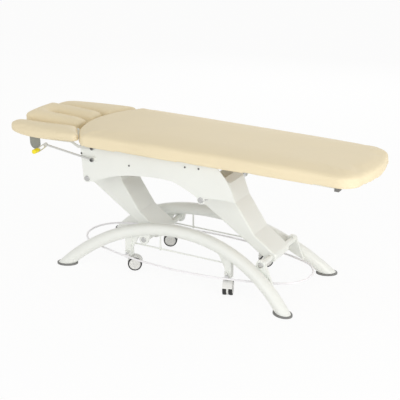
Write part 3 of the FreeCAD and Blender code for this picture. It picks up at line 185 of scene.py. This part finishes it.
bm = bmesh.new()
bmesh.ops.create_grid(bm, x_segments=1, y_segments=1, size=FLOOR_HALF)
floor_mesh = mesh_from(bm, "studio_floor")
floor = linked("studio_floor", floor_mesh)
floor.location.z = -FLOOR_DROP
floor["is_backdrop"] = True
floor_paint = bpy.data.materials.new("floor_white")
floor_paint.use_nodes = True
tree = floor_paint.node_tree
tree.nodes.clear()
matte = tree.nodes.new("ShaderNodeBsdfDiffuse")
matte.inputs["Color"].default_value = FLOOR_COLOUR
glow = tree.nodes.new("ShaderNodeEmission")
glow.inputs["Color"].default_value = WHITE
glow.inputs["Strength"].default_value = 1.0
share = tree.nodes.new("ShaderNodeMath")
share.operation = "MULTIPLY"
share.inputs[1].default_value = 1.0 - SHADOW_SHARE
blend = tree.nodes.new("ShaderNodeMixShader")
floor_out = tree.nodes.new("ShaderNodeOutputMaterial")
tree.links.new(seen_directly(tree), share.inputs[0])
tree.links.new(share.outputs[0], blend.inputs["Fac"])
tree.links.new(matte.outputs[0], blend.inputs[1])
tree.links.new(glow.outputs[0], blend.inputs[2])
tree.links.new(blend.outputs[0], floor_out.inputs["Surface"])
floor_mesh.materials.append(floor_paint)
print("floor reaches", FLOOR_HALF, "m each way")

# %% [markdown]
# ## Finishes
# Every finish is built from nodes on Object coordinates, so a pattern keeps its real size in millimetres.
# One helper makes a base: a colour that drifts a little, a roughness that drifts with it and a fine bump.
# What sets powder coat, vinyl, moulded plastic and steel apart is the scale of the grain and how deep it
# is.

# %% Finish helper
DRIFT_SCALE = 5.0
DRIFT_DETAIL = 3.0
DRIFT_BAND = (0.3, 0.7)
GLOSS_DRIFT = 0.12
GRAIN_DETAIL = 2.0
GRAIN_STRENGTH = 0.6


def grained_finish(name, colour, roughness, grain_size, grain_depth, drift, metallic=0.0, stretch=(1, 1, 1)):
    """A finish with slow colour drift and a fine bump. Sizes are in metres."""
    paint = bpy.data.materials.new(name)
    paint.use_nodes = True
    tree = paint.node_tree
    surface = tree.nodes["Principled BSDF"]
    surface.inputs["Metallic"].default_value = metallic
    place = tree.nodes.new("ShaderNodeTexCoord")
    mapping = tree.nodes.new("ShaderNodeMapping")
    mapping.inputs["Scale"].default_value = stretch
    tree.links.new(place.outputs["Object"], mapping.inputs["Vector"])
    cloud = tree.nodes.new("ShaderNodeTexNoise")
    cloud.inputs["Scale"].default_value = DRIFT_SCALE
    cloud.inputs["Detail"].default_value = DRIFT_DETAIL
    tree.links.new(mapping.outputs["Vector"], cloud.inputs["Vector"])
    shades = tree.nodes.new("ShaderNodeValToRGB")
    for stop, position, level in zip(shades.color_ramp.elements, DRIFT_BAND, (1.0 - drift, 1.0 + drift)):
        stop.position = position
        stop.color = [min(1.0, c * level) for c in colour] + [1.0]
    tree.links.new(cloud.outputs["Fac"], shades.inputs["Fac"])
    tree.links.new(shades.outputs["Color"], surface.inputs["Base Color"])
    gloss = tree.nodes.new("ShaderNodeMapRange")
    gloss.inputs["To Min"].default_value = roughness * (1.0 - GLOSS_DRIFT)
    gloss.inputs["To Max"].default_value = min(1.0, roughness * (1.0 + GLOSS_DRIFT))
    tree.links.new(cloud.outputs["Fac"], gloss.inputs["Value"])
    tree.links.new(gloss.outputs["Result"], surface.inputs["Roughness"])
    grain = tree.nodes.new("ShaderNodeTexNoise")
    grain.inputs["Scale"].default_value = 1.0 / grain_size
    grain.inputs["Detail"].default_value = GRAIN_DETAIL
    tree.links.new(mapping.outputs["Vector"], grain.inputs["Vector"])
    bump = tree.nodes.new("ShaderNodeBump")
    bump.inputs["Distance"].default_value = grain_depth
    bump.inputs["Strength"].default_value = GRAIN_STRENGTH
    tree.links.new(grain.outputs["Fac"], bump.inputs["Height"])
    tree.links.new(bump.outputs["Normal"], surface.inputs["Normal"])
    return paint


# %% Metal, plastic and wood finishes
# Each call gives a name, a colour, roughness, grain size, grain depth and colour drift, and metallic for
# bare metal.
finishes = {
    "frame_white": grained_finish("powder_coat_white", (0.845, 0.862, 0.825), 0.38, 0.0016, 0.00006, 0.015),
    "steel": grained_finish("satin_steel", (0.60, 0.60, 0.60), 0.32, 0.0010, 0.00004, 0.05, 1.0),
    "pivot_cap_steel": grained_finish("plated_cap", (0.55, 0.55, 0.54), 0.22, 0.0012, 0.00003, 0.05, 1.0),
    "bearing_bronze": grained_finish("bearing_bronze", (0.55, 0.40, 0.20), 0.40, 0.0012, 0.00004, 0.06, 1.0),
    "foot_grey": grained_finish("moulded_grey", (0.20, 0.20, 0.195), 0.55, 0.0012, 0.00010, 0.06),
    "castor_light": grained_finish("moulded_light_grey", (0.78, 0.78, 0.76), 0.42, 0.0014, 0.00005, 0.02),
    "castor_tread": grained_finish("tread_black", (0.022, 0.022, 0.022), 0.65, 0.0014, 0.00012, 0.15),
    "plywood": grained_finish("birch_plywood", (0.52, 0.38, 0.22), 0.60, 0.0060, 0.00010, 0.14,
                              stretch=(0.4, 6, 6)),
    "actuator_alloy": grained_finish("drawn_alloy", (0.68, 0.68, 0.69), 0.30, 0.0010, 0.00004, 0.04, 1.0),
    "housing_grey": grained_finish("housing_black", (0.06, 0.06, 0.06), 0.50, 0.0013, 0.00012, 0.08),
    "grip_yellow": grained_finish("moulded_yellow", (0.93, 0.78, 0.02), 0.35, 0.0014, 0.00005, 0.03),
    "lever_light": grained_finish("plated_lever", (0.62, 0.62, 0.60), 0.30, 0.0012, 0.00004, 0.04, 0.6),
}
print(len(finishes), "hard finishes")

# %% [markdown]
# ## Upholstery vinyl
# The pads wear a smooth beige vinyl. Close up it has a fine leather grain: small cells with soft creases
# between them. Voronoi cells give the creases, and a finer noise keeps the cells from looking like tiles.

# %% Vinyl finish
VINYL_COLOUR = (0.832, 0.722, 0.502)
VINYL_ROUGHNESS = 0.56
VINYL_SPECULAR = 0.36
VINYL_DRIFT = 0.018
PORE_SIZE = 0.0009
PORE_DEPTH = 0.00004
VINYL_CELL = 0.0024
CREASE_DEPTH = 0.00016
CREASE_STRENGTH = 0.55


def node_of(tree, kind):
    """The first shader node of a kind in a material."""
    return next(node for node in tree.nodes if node.type == kind)


def vinyl_finish(name):
    """Soft beige vinyl with leather grain."""
    paint = grained_finish(name, VINYL_COLOUR, VINYL_ROUGHNESS, PORE_SIZE, PORE_DEPTH, VINYL_DRIFT)
    tree = paint.node_tree
    surface = tree.nodes["Principled BSDF"]
    surface.inputs["Specular IOR Level"].default_value = VINYL_SPECULAR
    cells = tree.nodes.new("ShaderNodeTexVoronoi")
    cells.feature = "DISTANCE_TO_EDGE"
    cells.inputs["Scale"].default_value = 1.0 / VINYL_CELL
    tree.links.new(node_of(tree, "MAPPING").outputs["Vector"], cells.inputs["Vector"])
    pores = node_of(tree, "BUMP")
    creases = tree.nodes.new("ShaderNodeBump")
    creases.inputs["Distance"].default_value = CREASE_DEPTH
    creases.inputs["Strength"].default_value = CREASE_STRENGTH
    tree.links.new(cells.outputs["Distance"], creases.inputs["Height"])
    tree.links.new(pores.outputs["Normal"], creases.inputs["Normal"])
    tree.links.new(creases.outputs["Normal"], surface.inputs["Normal"])
    return paint


finishes["beige_cover"] = vinyl_finish("beige_vinyl")
print("vinyl cells are", VINYL_CELL * 1000, "mm wide")

# %% [markdown]
# ## Armrest brackets
# Each bracket is one piece of metal with two coats: dark grey at the clamp and pale along the arm.
# Cutting it in two would change a CAD part, so one finish changes its colour at a place along the table
# instead.

# %% Bracket finish
CLAMP_GREY = (0.27, 0.28, 0.25)
ARM_PALE = (0.66, 0.67, 0.64, 1.0)
CLAMP_END_X = -0.779


def bracket_finish(name):
    """Grey powder coat up to the clamp's end, and pale coat along the arm."""
    paint = grained_finish(name, CLAMP_GREY, 0.45, 0.0016, 0.00008, 0.05)
    tree = paint.node_tree
    surface = tree.nodes["Principled BSDF"]
    along = tree.nodes.new("ShaderNodeSeparateXYZ")
    tree.links.new(node_of(tree, "TEX_COORD").outputs["Object"], along.inputs["Vector"])
    past = tree.nodes.new("ShaderNodeMath")
    past.operation = "GREATER_THAN"
    past.inputs[1].default_value = CLAMP_END_X
    tree.links.new(along.outputs["X"], past.inputs[0])
    coats = tree.nodes.new("ShaderNodeMix")
    coats.data_type = "RGBA"
    dark = surface.inputs["Base Color"].links[0].from_socket
    tree.links.new(past.outputs[0], coats.inputs["Factor"])
    tree.links.new(dark, coats.inputs["A"])
    coats.inputs["B"].default_value = ARM_PALE
    tree.links.new(coats.outputs["Result"], surface.inputs["Base Color"])
    return paint


finishes["bracket_grey"] = bracket_finish("clamp_grey")
print("bracket turns pale at", CLAMP_END_X, "m")

# %% [markdown]
# ## Paint on the CAD parts
# The record names a material slot for every CAD node, so one loop paints them all. A few nodes look
# different on the real table: the switch ring has a cooler, paler coat than the frame, the armrest bosses
# are painted with the plates, and the rims of the leg bushes are pale polymer.

# %% Paint the CAD nodes
ring_paint = grained_finish("powder_coat_pale", (0.90, 0.89, 0.92), 0.36, 0.0016, 0.00006, 0.012)
bush_polymer = grained_finish("pale_polymer", (0.80, 0.81, 0.78), 0.45, 0.0012, 0.00005, 0.02)
own_finish = {
    "foot_ring": ring_paint,
    "near_arm_pivots": finishes["frame_white"],
    "far_arm_pivots": finishes["frame_white"],
    "head_leg_bushes": bush_polymer,
    "tail_leg_bushes": bush_polymer,
}
for part in frame["record"]["subparts"]:
    node = part["node"]
    mesh = nodes[node].data
    mesh.materials.clear()
    mesh.materials.append(own_finish.get(node, finishes[part["material_slot"]]))

# %% [markdown]
# ## Pads
# Each pad is foam in a tight cover without seams. A block with rounded edges would look hard, so the pad
# starts as a copy of its CAD solid and gets even faces from a voxel remesh. Cloth needs such faces: it
# would crease along the long thin triangles of the solid.

# %% Copy a solid with even faces
MERGE_GAP = 0.00002


def copy_of(node, name):
    """A merged copy of a CAD node's mesh as an object of its own."""
    bm = bmesh.new()
    bm.from_mesh(nodes[node].data)
    bmesh.ops.remove_doubles(bm, verts=bm.verts, dist=MERGE_GAP)
    return linked(name, mesh_from(bm, name))


def applied(pad):
    """Turns the modifiers of a piece into its mesh."""
    shaped = pad.evaluated_get(bpy.context.evaluated_depsgraph_get())
    mesh = bpy.data.meshes.new_from_object(shaped)
    pad.modifiers.clear()
    old = pad.data
    pad.data = mesh
    bpy.data.meshes.remove(old)


def remesh(pad, voxel):
    """Even faces of one size."""
    step = pad.modifiers.new("even_faces", "REMESH")
    step.mode = "VOXEL"
    step.voxel_size = voxel
    applied(pad)


# %% [markdown]
# ## Soft top on a firm base
# A pad is flat only where its board holds it, so the points near its base stay in place. The rest is
# smoothed. Rounds that move points up and down alone dome the top and keep the outline. Then the pad is
# blown up a little as cloth under pressure.

# %% Smooth and swell
SOFT_BASE = 0.14
SMOOTH_FACTOR = 0.5
CLOTH_PRESSURE = 4.0
CLOTH_QUALITY = 5
CLOTH_FRAMES = 20


def base_height(pad):
    """The height below which a pad is held on its board."""
    heights = [vert.co.z for vert in pad.data.vertices]
    return min(heights) + SOFT_BASE * (max(heights) - min(heights))


def smooth_pad(pad, rounds, sideways):
    """Evens out the soft part of a pad. Without sideways, points only move up and down."""
    floor_z = base_height(pad)
    bm = bmesh.new()
    bm.from_mesh(pad.data)
    soft = [vert for vert in bm.verts if vert.co.z >= floor_z]
    for _ in range(rounds):
        bmesh.ops.smooth_vert(bm, verts=soft, factor=SMOOTH_FACTOR,
                              use_axis_x=sideways, use_axis_y=sideways, use_axis_z=True)
    bm.to_mesh(pad.data)
    bm.free()


def inflate(pad, cap):
    """Blows the pad up as cloth that is held at its base, and caps how far a point may move."""
    floor_z = base_height(pad)
    held = pad.vertex_groups.new(name="held")
    held.add([vert.index for vert in pad.data.vertices if vert.co.z < floor_z], 1.0, "REPLACE")
    before = [vert.co.copy() for vert in pad.data.vertices]
    cloth = pad.modifiers.new("swell", "CLOTH")
    cloth.settings.use_pressure = True
    cloth.settings.uniform_pressure_force = CLOTH_PRESSURE
    cloth.settings.effector_weights.gravity = 0.0
    cloth.settings.vertex_group_mass = held.name
    cloth.settings.quality = CLOTH_QUALITY
    cloth.point_cache.frame_start = 1
    cloth.point_cache.frame_end = CLOTH_FRAMES
    for number in range(1, CLOTH_FRAMES + 1):
        scene.frame_set(number)
    applied(pad)
    scene.frame_set(1)
    for vert, start in zip(pad.data.vertices, before):
        move = vert.co - start
        if move.length > cap:
            vert.co = start + move * (cap / move.length)
    pad.vertex_groups.clear()


# %% [markdown]
# ## Size and form
# Smoothing draws a pad in, so it is stretched back to the box of its solid. What tells the pads apart
# comes last, as small moves of their points: the long crown of the main cushion, the full corners and the
# bowed end of the headrest and the rounded tips of the armrests. Sculpting by hand would also work, but
# it could not be run again.

# %% Fit and form


def box_of(points):
    """The lowest and the highest corner of the box around some points."""
    return [Vector([end(point[axis] for point in points) for axis in range(3)]) for end in (min, max)]


def points_of(pad):
    """The points of a pad with the lowest and the highest corner of their box."""
    points = [vert.co for vert in pad.data.vertices]
    low, high = box_of(points)
    return points, low, high


def fit_to_solid(pad, node, proud):
    """Stretches a pad to its solid's box, and past it by what the cover stands proud."""
    low, high = (Vector(corner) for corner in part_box(node))
    head, tail, outer, above = proud
    low.x -= head
    high.x += tail
    high.z += above
    low.y -= outer if low.y < 0.0 else 0.0
    high.y += outer if high.y > 0.0 else 0.0
    points, start, end = points_of(pad)
    for axis in range(3):
        stretch = (high[axis] - low[axis]) / (end[axis] - start[axis])
        for point in points:
            point[axis] = low[axis] + (point[axis] - start[axis]) * stretch


def crown_top(pad, rise):
    """Raises the top of a long pad towards the middle of its length."""
    points, low, high = points_of(pad)
    for point in points:
        from_middle = (2.0 * point.x - low.x - high.x) / (high.x - low.x)
        above_base = (point.z - low.z) / (high.z - low.z)
        point.z += rise * above_base * (1.0 - from_middle ** 4)


def fill_corners(pad, reach, push):
    """Pushes the two corners at a pad's head end outwards, where the foam fills the cover."""
    points, low, high = points_of(pad)
    side_y = max(abs(low.y), abs(high.y))
    for point in points:
        near_head = max(0.0, 1.0 - (point.x - low.x) / reach)
        near_side = max(0.0, 1.0 - (side_y - abs(point.y)) / reach)
        amount = push * near_head * near_side
        point.x -= amount
        point.y += math.copysign(amount, point.y)


def bow_end(pad, reach, depth):
    """Bows the straight head end of a pad outwards, most in the middle."""
    points, low, high = points_of(pad)
    side_y = max(abs(low.y), abs(high.y))
    for point in points:
        near_head = max(0.0, 1.0 - (point.x - low.x) / reach)
        point.x -= depth * near_head * (1.0 - (point.y / side_y) ** 2)


def round_tip(pad, reach, share, rise):
    """Draws an armrest's outer corner in along a quarter ellipse and lifts its underside at the head end."""
    points, low, high = points_of(pad)
    inner_y = min(low.y, high.y, key=abs)
    for point in points:
        along = min(1.0, max(0.0, 1.0 - (point.x - low.x) / reach))
        keep = 1.0 - share * (1.0 - math.sqrt(1.0 - along * along))
        point.y = inner_y + (point.y - inner_y) * keep
        point.z += rise * along ** 2 * (high.z - point.z) / (high.z - low.z)


# %% [markdown]
# ## The four pads
# One maker builds every pad and puts it on the body of its solid. The main cushion has larger faces than
# the small pads, because it is long and nearly flat. One subdivision at the end hides the faces of the
# remesh.

# %% Main cushion, headrest and armrests
# Columns: CAD node, body, voxel size, most swell, rounds of smoothing, fill, and how far the cover stands
# proud of the solid at its head end, tail end, outer sides and top.
PADS = (
    ("main_cushion", "top", 0.0093, 0.005, 1, 0.85, (-0.001, 0.003, 0.005, 0.004)),
    ("headrest_cushion", "headrest", 0.0055, 0.006, 3, 0.75, (0.003, -0.002, 0.0, 0.006)),
    ("near_armrest_cushion", "near_armrest", 0.0055, 0.006, 4, 0.75, (0.036, 0.012, 0.012, 0.012)),
    ("far_armrest_cushion", "far_armrest", 0.0055, 0.006, 4, 0.75, (0.036, 0.012, 0.012, 0.012)),
)
CROWN_RISE = 0.013
CORNER_REACH = 0.06
CORNER_PUSH = 0.013
BOW_REACH = 0.12
BOW_DEPTH = 0.014
TIP_REACH = 0.25
TIP_SHARE = 0.60
TIP_RISE = 0.018


def shade_smooth(mesh):
    """Lets the light run smoothly over the faces of a mesh."""
    mesh.polygons.foreach_set("use_smooth", [True] * len(mesh.polygons))


def make_pad(node, body, voxel, swell, rounds, fill, proud):
    """A soft pad that stands for a CAD solid."""
    pad = copy_of(node, node + "_pad")
    remesh(pad, voxel)
    smooth_pad(pad, 1, True)
    smooth_pad(pad, rounds, False)
    inflate(pad, swell)
    smooth_pad(pad, 1, True)
    fit_to_solid(pad, node, proud)
    pad.data.materials.append(finishes["beige_cover"])
    shade_smooth(pad.data)
    fine = pad.modifiers.new("smooth_cover", "SUBSURF")
    fine.levels = 1
    fine.render_levels = 1
    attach(pad, body)
    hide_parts(node)
    print(node, len(pad.data.polygons), "faces")
    return pad


pads = {row[0]: make_pad(*row) for row in PADS}
crown_top(pads["main_cushion"], CROWN_RISE)
fill_corners(pads["headrest_cushion"], CORNER_REACH, CORNER_PUSH)
bow_end(pads["headrest_cushion"], BOW_REACH, BOW_DEPTH)
for side in ("near", "far"):
    round_tip(pads[side + "_armrest_cushion"], TIP_REACH, TIP_SHARE, TIP_RISE)

# %% [markdown]
# ## Castor wheels
# Each castor has twin wheels: a black tread around a pale hub disc with a raised rim. Both are turned
# shapes, so a short profile is spun about the axle. The axle's place and direction come from the joint
# that the wheels roll on.

# %% Turned shapes
SPIN_STEPS = 48
SPIN_MERGE_GAP = 0.000005
EDGE_ROUND = 0.0008


def spun(name, profile, centre, axle, finish):
    """A closed profile of (radius, distance along the axle) points, turned about the axle."""
    side = axle.cross(Vector((0.0, 0.0, 1.0))).normalized()
    bm = bmesh.new()
    ring = [bm.verts.new(centre + side * radius + axle * along) for radius, along in profile]
    edges = [bm.edges.new((ring[i], ring[(i + 1) % len(ring)])) for i in range(len(ring))]
    bmesh.ops.spin(bm, geom=ring + edges, cent=centre, axis=axle, angle=2 * math.pi, steps=SPIN_STEPS,
                   use_merge=True)
    bmesh.ops.remove_doubles(bm, verts=bm.verts, dist=SPIN_MERGE_GAP)
    bmesh.ops.recalc_face_normals(bm, faces=bm.faces)
    mesh = mesh_from(bm, name)
    mesh.materials.append(finish)
    shade_smooth(mesh)
    piece = linked(name, mesh)
    edge = piece.modifiers.new("soft_edge", "BEVEL")
    edge.width = EDGE_ROUND
    edge.segments = 2
    edge.limit_method = "ANGLE"
    return piece


# %% Twin wheels
WHEEL_R = 0.037
WHEEL_WIDTH = 0.018
WHEEL_GAP = 0.0065
TREAD_DEPTH = 0.0075
TREAD_CROWN = 0.0012
HUB_BORE_R = 0.0042
HUB_BOSS_R = 0.0075
HUB_BOSS_FOOT_R = 0.009
HUB_DISH = 0.003
RIM_FLAT = 0.004
RIM_SLOPE = 0.003


def wheel_profiles(sign):
    """The outlines of a tread and a hub, for the wheel on one side of the fork's middle."""
    inner, outer = sign * WHEEL_GAP, sign * (WHEEL_GAP + WHEEL_WIDTH)
    middle = (inner + outer) / 2
    dish = outer - sign * HUB_DISH
    rim_r = WHEEL_R - TREAD_DEPTH
    edge_r = WHEEL_R - TREAD_CROWN
    flat_r = rim_r - RIM_FLAT
    tread = [(rim_r, inner), (edge_r, inner), (WHEEL_R, middle), (edge_r, outer), (rim_r, outer)]
    hub = [(HUB_BORE_R, inner), (rim_r, inner), (rim_r, outer), (flat_r, outer), (flat_r - RIM_SLOPE, dish),
           (HUB_BOSS_FOOT_R, dish), (HUB_BOSS_R, outer), (HUB_BORE_R, outer)]
    return tread, hub


rolls = {joint["name"]: joint for joint in frame["joints"] if joint["name"].endswith("_roll")}
for name, joint in sorted(rolls.items()):
    corner = name[:-len("_roll")]
    centre, axle = Vector(joint["pos_m"]), Vector(joint["axis"]).normalized()
    for label, sign in (("left", -1.0), ("right", 1.0)):
        tread, hub = wheel_profiles(sign)
        tyre = spun(corner + "_tread_" + label, tread, centre, axle, finishes["castor_tread"])
        disc = spun(corner + "_hub_" + label, hub, centre, axle, finishes["castor_light"])
        for piece, slot in ((tyre, "castor_tread"), (disc, "castor_light")):
            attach(piece, corner + "_wheels")
            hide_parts(corner + "_castor_wheels")
print("twin wheels on", len(rolls), "castors")

# %% [markdown]
# ## Screw heads
# The screws in the side plates and on the armrest bosses are button heads with a hexagon socket. A
# cylinder is too plain for them, so the top cap of a short cylinder is inset step by step into a dome.
# The last loop of points is pulled onto a hexagon and pushed back in. The places come from the loose
# solids of the CAD nodes.

# %% Where the screws are


def loose_boxes(node):
    """The lowest and highest corners of every loose solid in a CAD node, in a steady order."""
    bm = bmesh.new()
    bm.from_mesh(nodes[node].data)
    bmesh.ops.remove_doubles(bm, verts=bm.verts, dist=MERGE_GAP)
    boxes, left = [], set(bm.verts)
    while left:
        group, front = set(), [left.pop()]
        while front:
            vert = front.pop()
            group.add(vert)
            near = {edge.other_vert(vert) for edge in vert.link_edges} & left
            left -= near
            front.extend(near)
        low, high = box_of([vert.co for vert in group])
        boxes.append((low, high))
    bm.free()
    return sorted(boxes, key=lambda box: tuple(box[0]))


def side_face(low, high, pick):
    """The middle of a solid's inner (min) or outer (max) side face, and its outward sign along Y."""
    face_y = pick(low.y, high.y, key=abs)
    return Vector(((low.x + high.x) / 2, face_y, (low.z + high.z) / 2)), math.copysign(1.0, low.y + high.y)


# %% Button heads
# A step of the dome goes inwards by a share of the radius and up by a share of the height.
HEAD_SIDES = 24
HEAD_SKIRT = 0.5
DOME_STEPS = ((0.10, 0.28), (0.16, 0.15), (0.20, 0.07))
SOCKET_REACH = 0.54
SOCKET_TAPER = 0.02
SOCKET_DEPTH = 0.6
# The heads are dark steel. On the armrest bolts the dark head also stands in for the shade in the recess around
# each bolt: painted shade.
DARK_STEEL_AND_SHADE = grained_finish("dark_steel_and_painted_shade", (0.20, 0.20, 0.195), 0.34, 0.0010, 0.00003, 0.08, 0.9)
# The socket's walls and floor are painted near black: painted shade in the recess.
SOCKET_SHADE = grained_finish("socket_painted_shade", (0.03, 0.03, 0.03), 0.6, 0.0010, 0.00003, 0.1)


def on_hexagon(point, centre, radius):
    """A point of a circle in the XZ plane moved straight in to the hexagon inside that circle."""
    away = point - centre
    turn = math.atan2(away.z, away.x) % (math.pi / 3) - math.pi / 6
    return centre + away.normalized() * (radius * math.cos(math.pi / 6) / math.cos(turn))


def add_head(bm, foot, out, radius, height):
    """A button head with a hexagon socket, standing on a side face of the table."""
    skirt = height * HEAD_SKIRT
    middle = foot + Vector((0.0, out * skirt / 2, 0.0))
    place = Matrix.Translation(middle) @ Matrix.Rotation(math.pi / 2, 4, "X")
    made = bmesh.ops.create_cone(bm, cap_ends=True, segments=HEAD_SIDES, radius1=radius, radius2=radius,
                                 depth=skirt, matrix=place)
    faces = {face for vert in made["verts"] for face in vert.link_faces}
    top = next(face for face in faces if len(face.verts) == HEAD_SIDES and face.normal.y * out > 0.9)
    for inward, rise in DOME_STEPS:
        bmesh.ops.inset_region(bm, faces=[top], thickness=inward * radius, depth=rise * height)
    centre = top.calc_center_median()
    for vert in top.verts:
        vert.co = on_hexagon(vert.co, centre, radius * SOCKET_REACH)
    sunk = bmesh.ops.inset_region(bm, faces=[top], thickness=radius * SOCKET_TAPER,
                                  depth=-height * SOCKET_DEPTH)
    # The socket faces take the second material, the painted shade.
    for face in sunk["faces"] + [top]:
        face.material_index = 1


def screw_heads(name, places):
    """One piece for a set of heads. A place is (foot, outward sign along Y, radius, height)."""
    bm = bmesh.new()
    for place in places:
        add_head(bm, *place)
    bmesh.ops.recalc_face_normals(bm, faces=bm.faces)
    mesh = mesh_from(bm, name)
    mesh.materials.append(DARK_STEEL_AND_SHADE)
    mesh.materials.append(SOCKET_SHADE)
    piece = linked(name, mesh)
    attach(piece, "top")
    return piece


# %% Plate screws and armrest bolts
BOLT_HEAD_R = 0.0095
BOLT_HEAD_H = 0.003

plate_places = []
for low, high in loose_boxes("plate_screws"):
    foot, out = side_face(low, high, min)
    plate_places.append((foot, out, (high.x - low.x) / 2, high.y - low.y))
plate_heads = screw_heads("plate_screw_heads", plate_places)
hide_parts("plate_screws")
# The dark armrest bolt heads are partly painted shade, for the recess around each bolt.
for side in ("near", "far"):
    faces = [side_face(low, high, max) for low, high in loose_boxes(side + "_arm_pivots")]
    bolt_places = [(foot, out, BOLT_HEAD_R, BOLT_HEAD_H) for foot, out in faces]
    screw_heads(side + "_arm_bolt_heads", bolt_places)
print(len(plate_places), "plate screws")

# %% [markdown]
# ## Sizes and finish
# The box around the visual model is measured.

# %% Sizes
low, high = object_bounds()
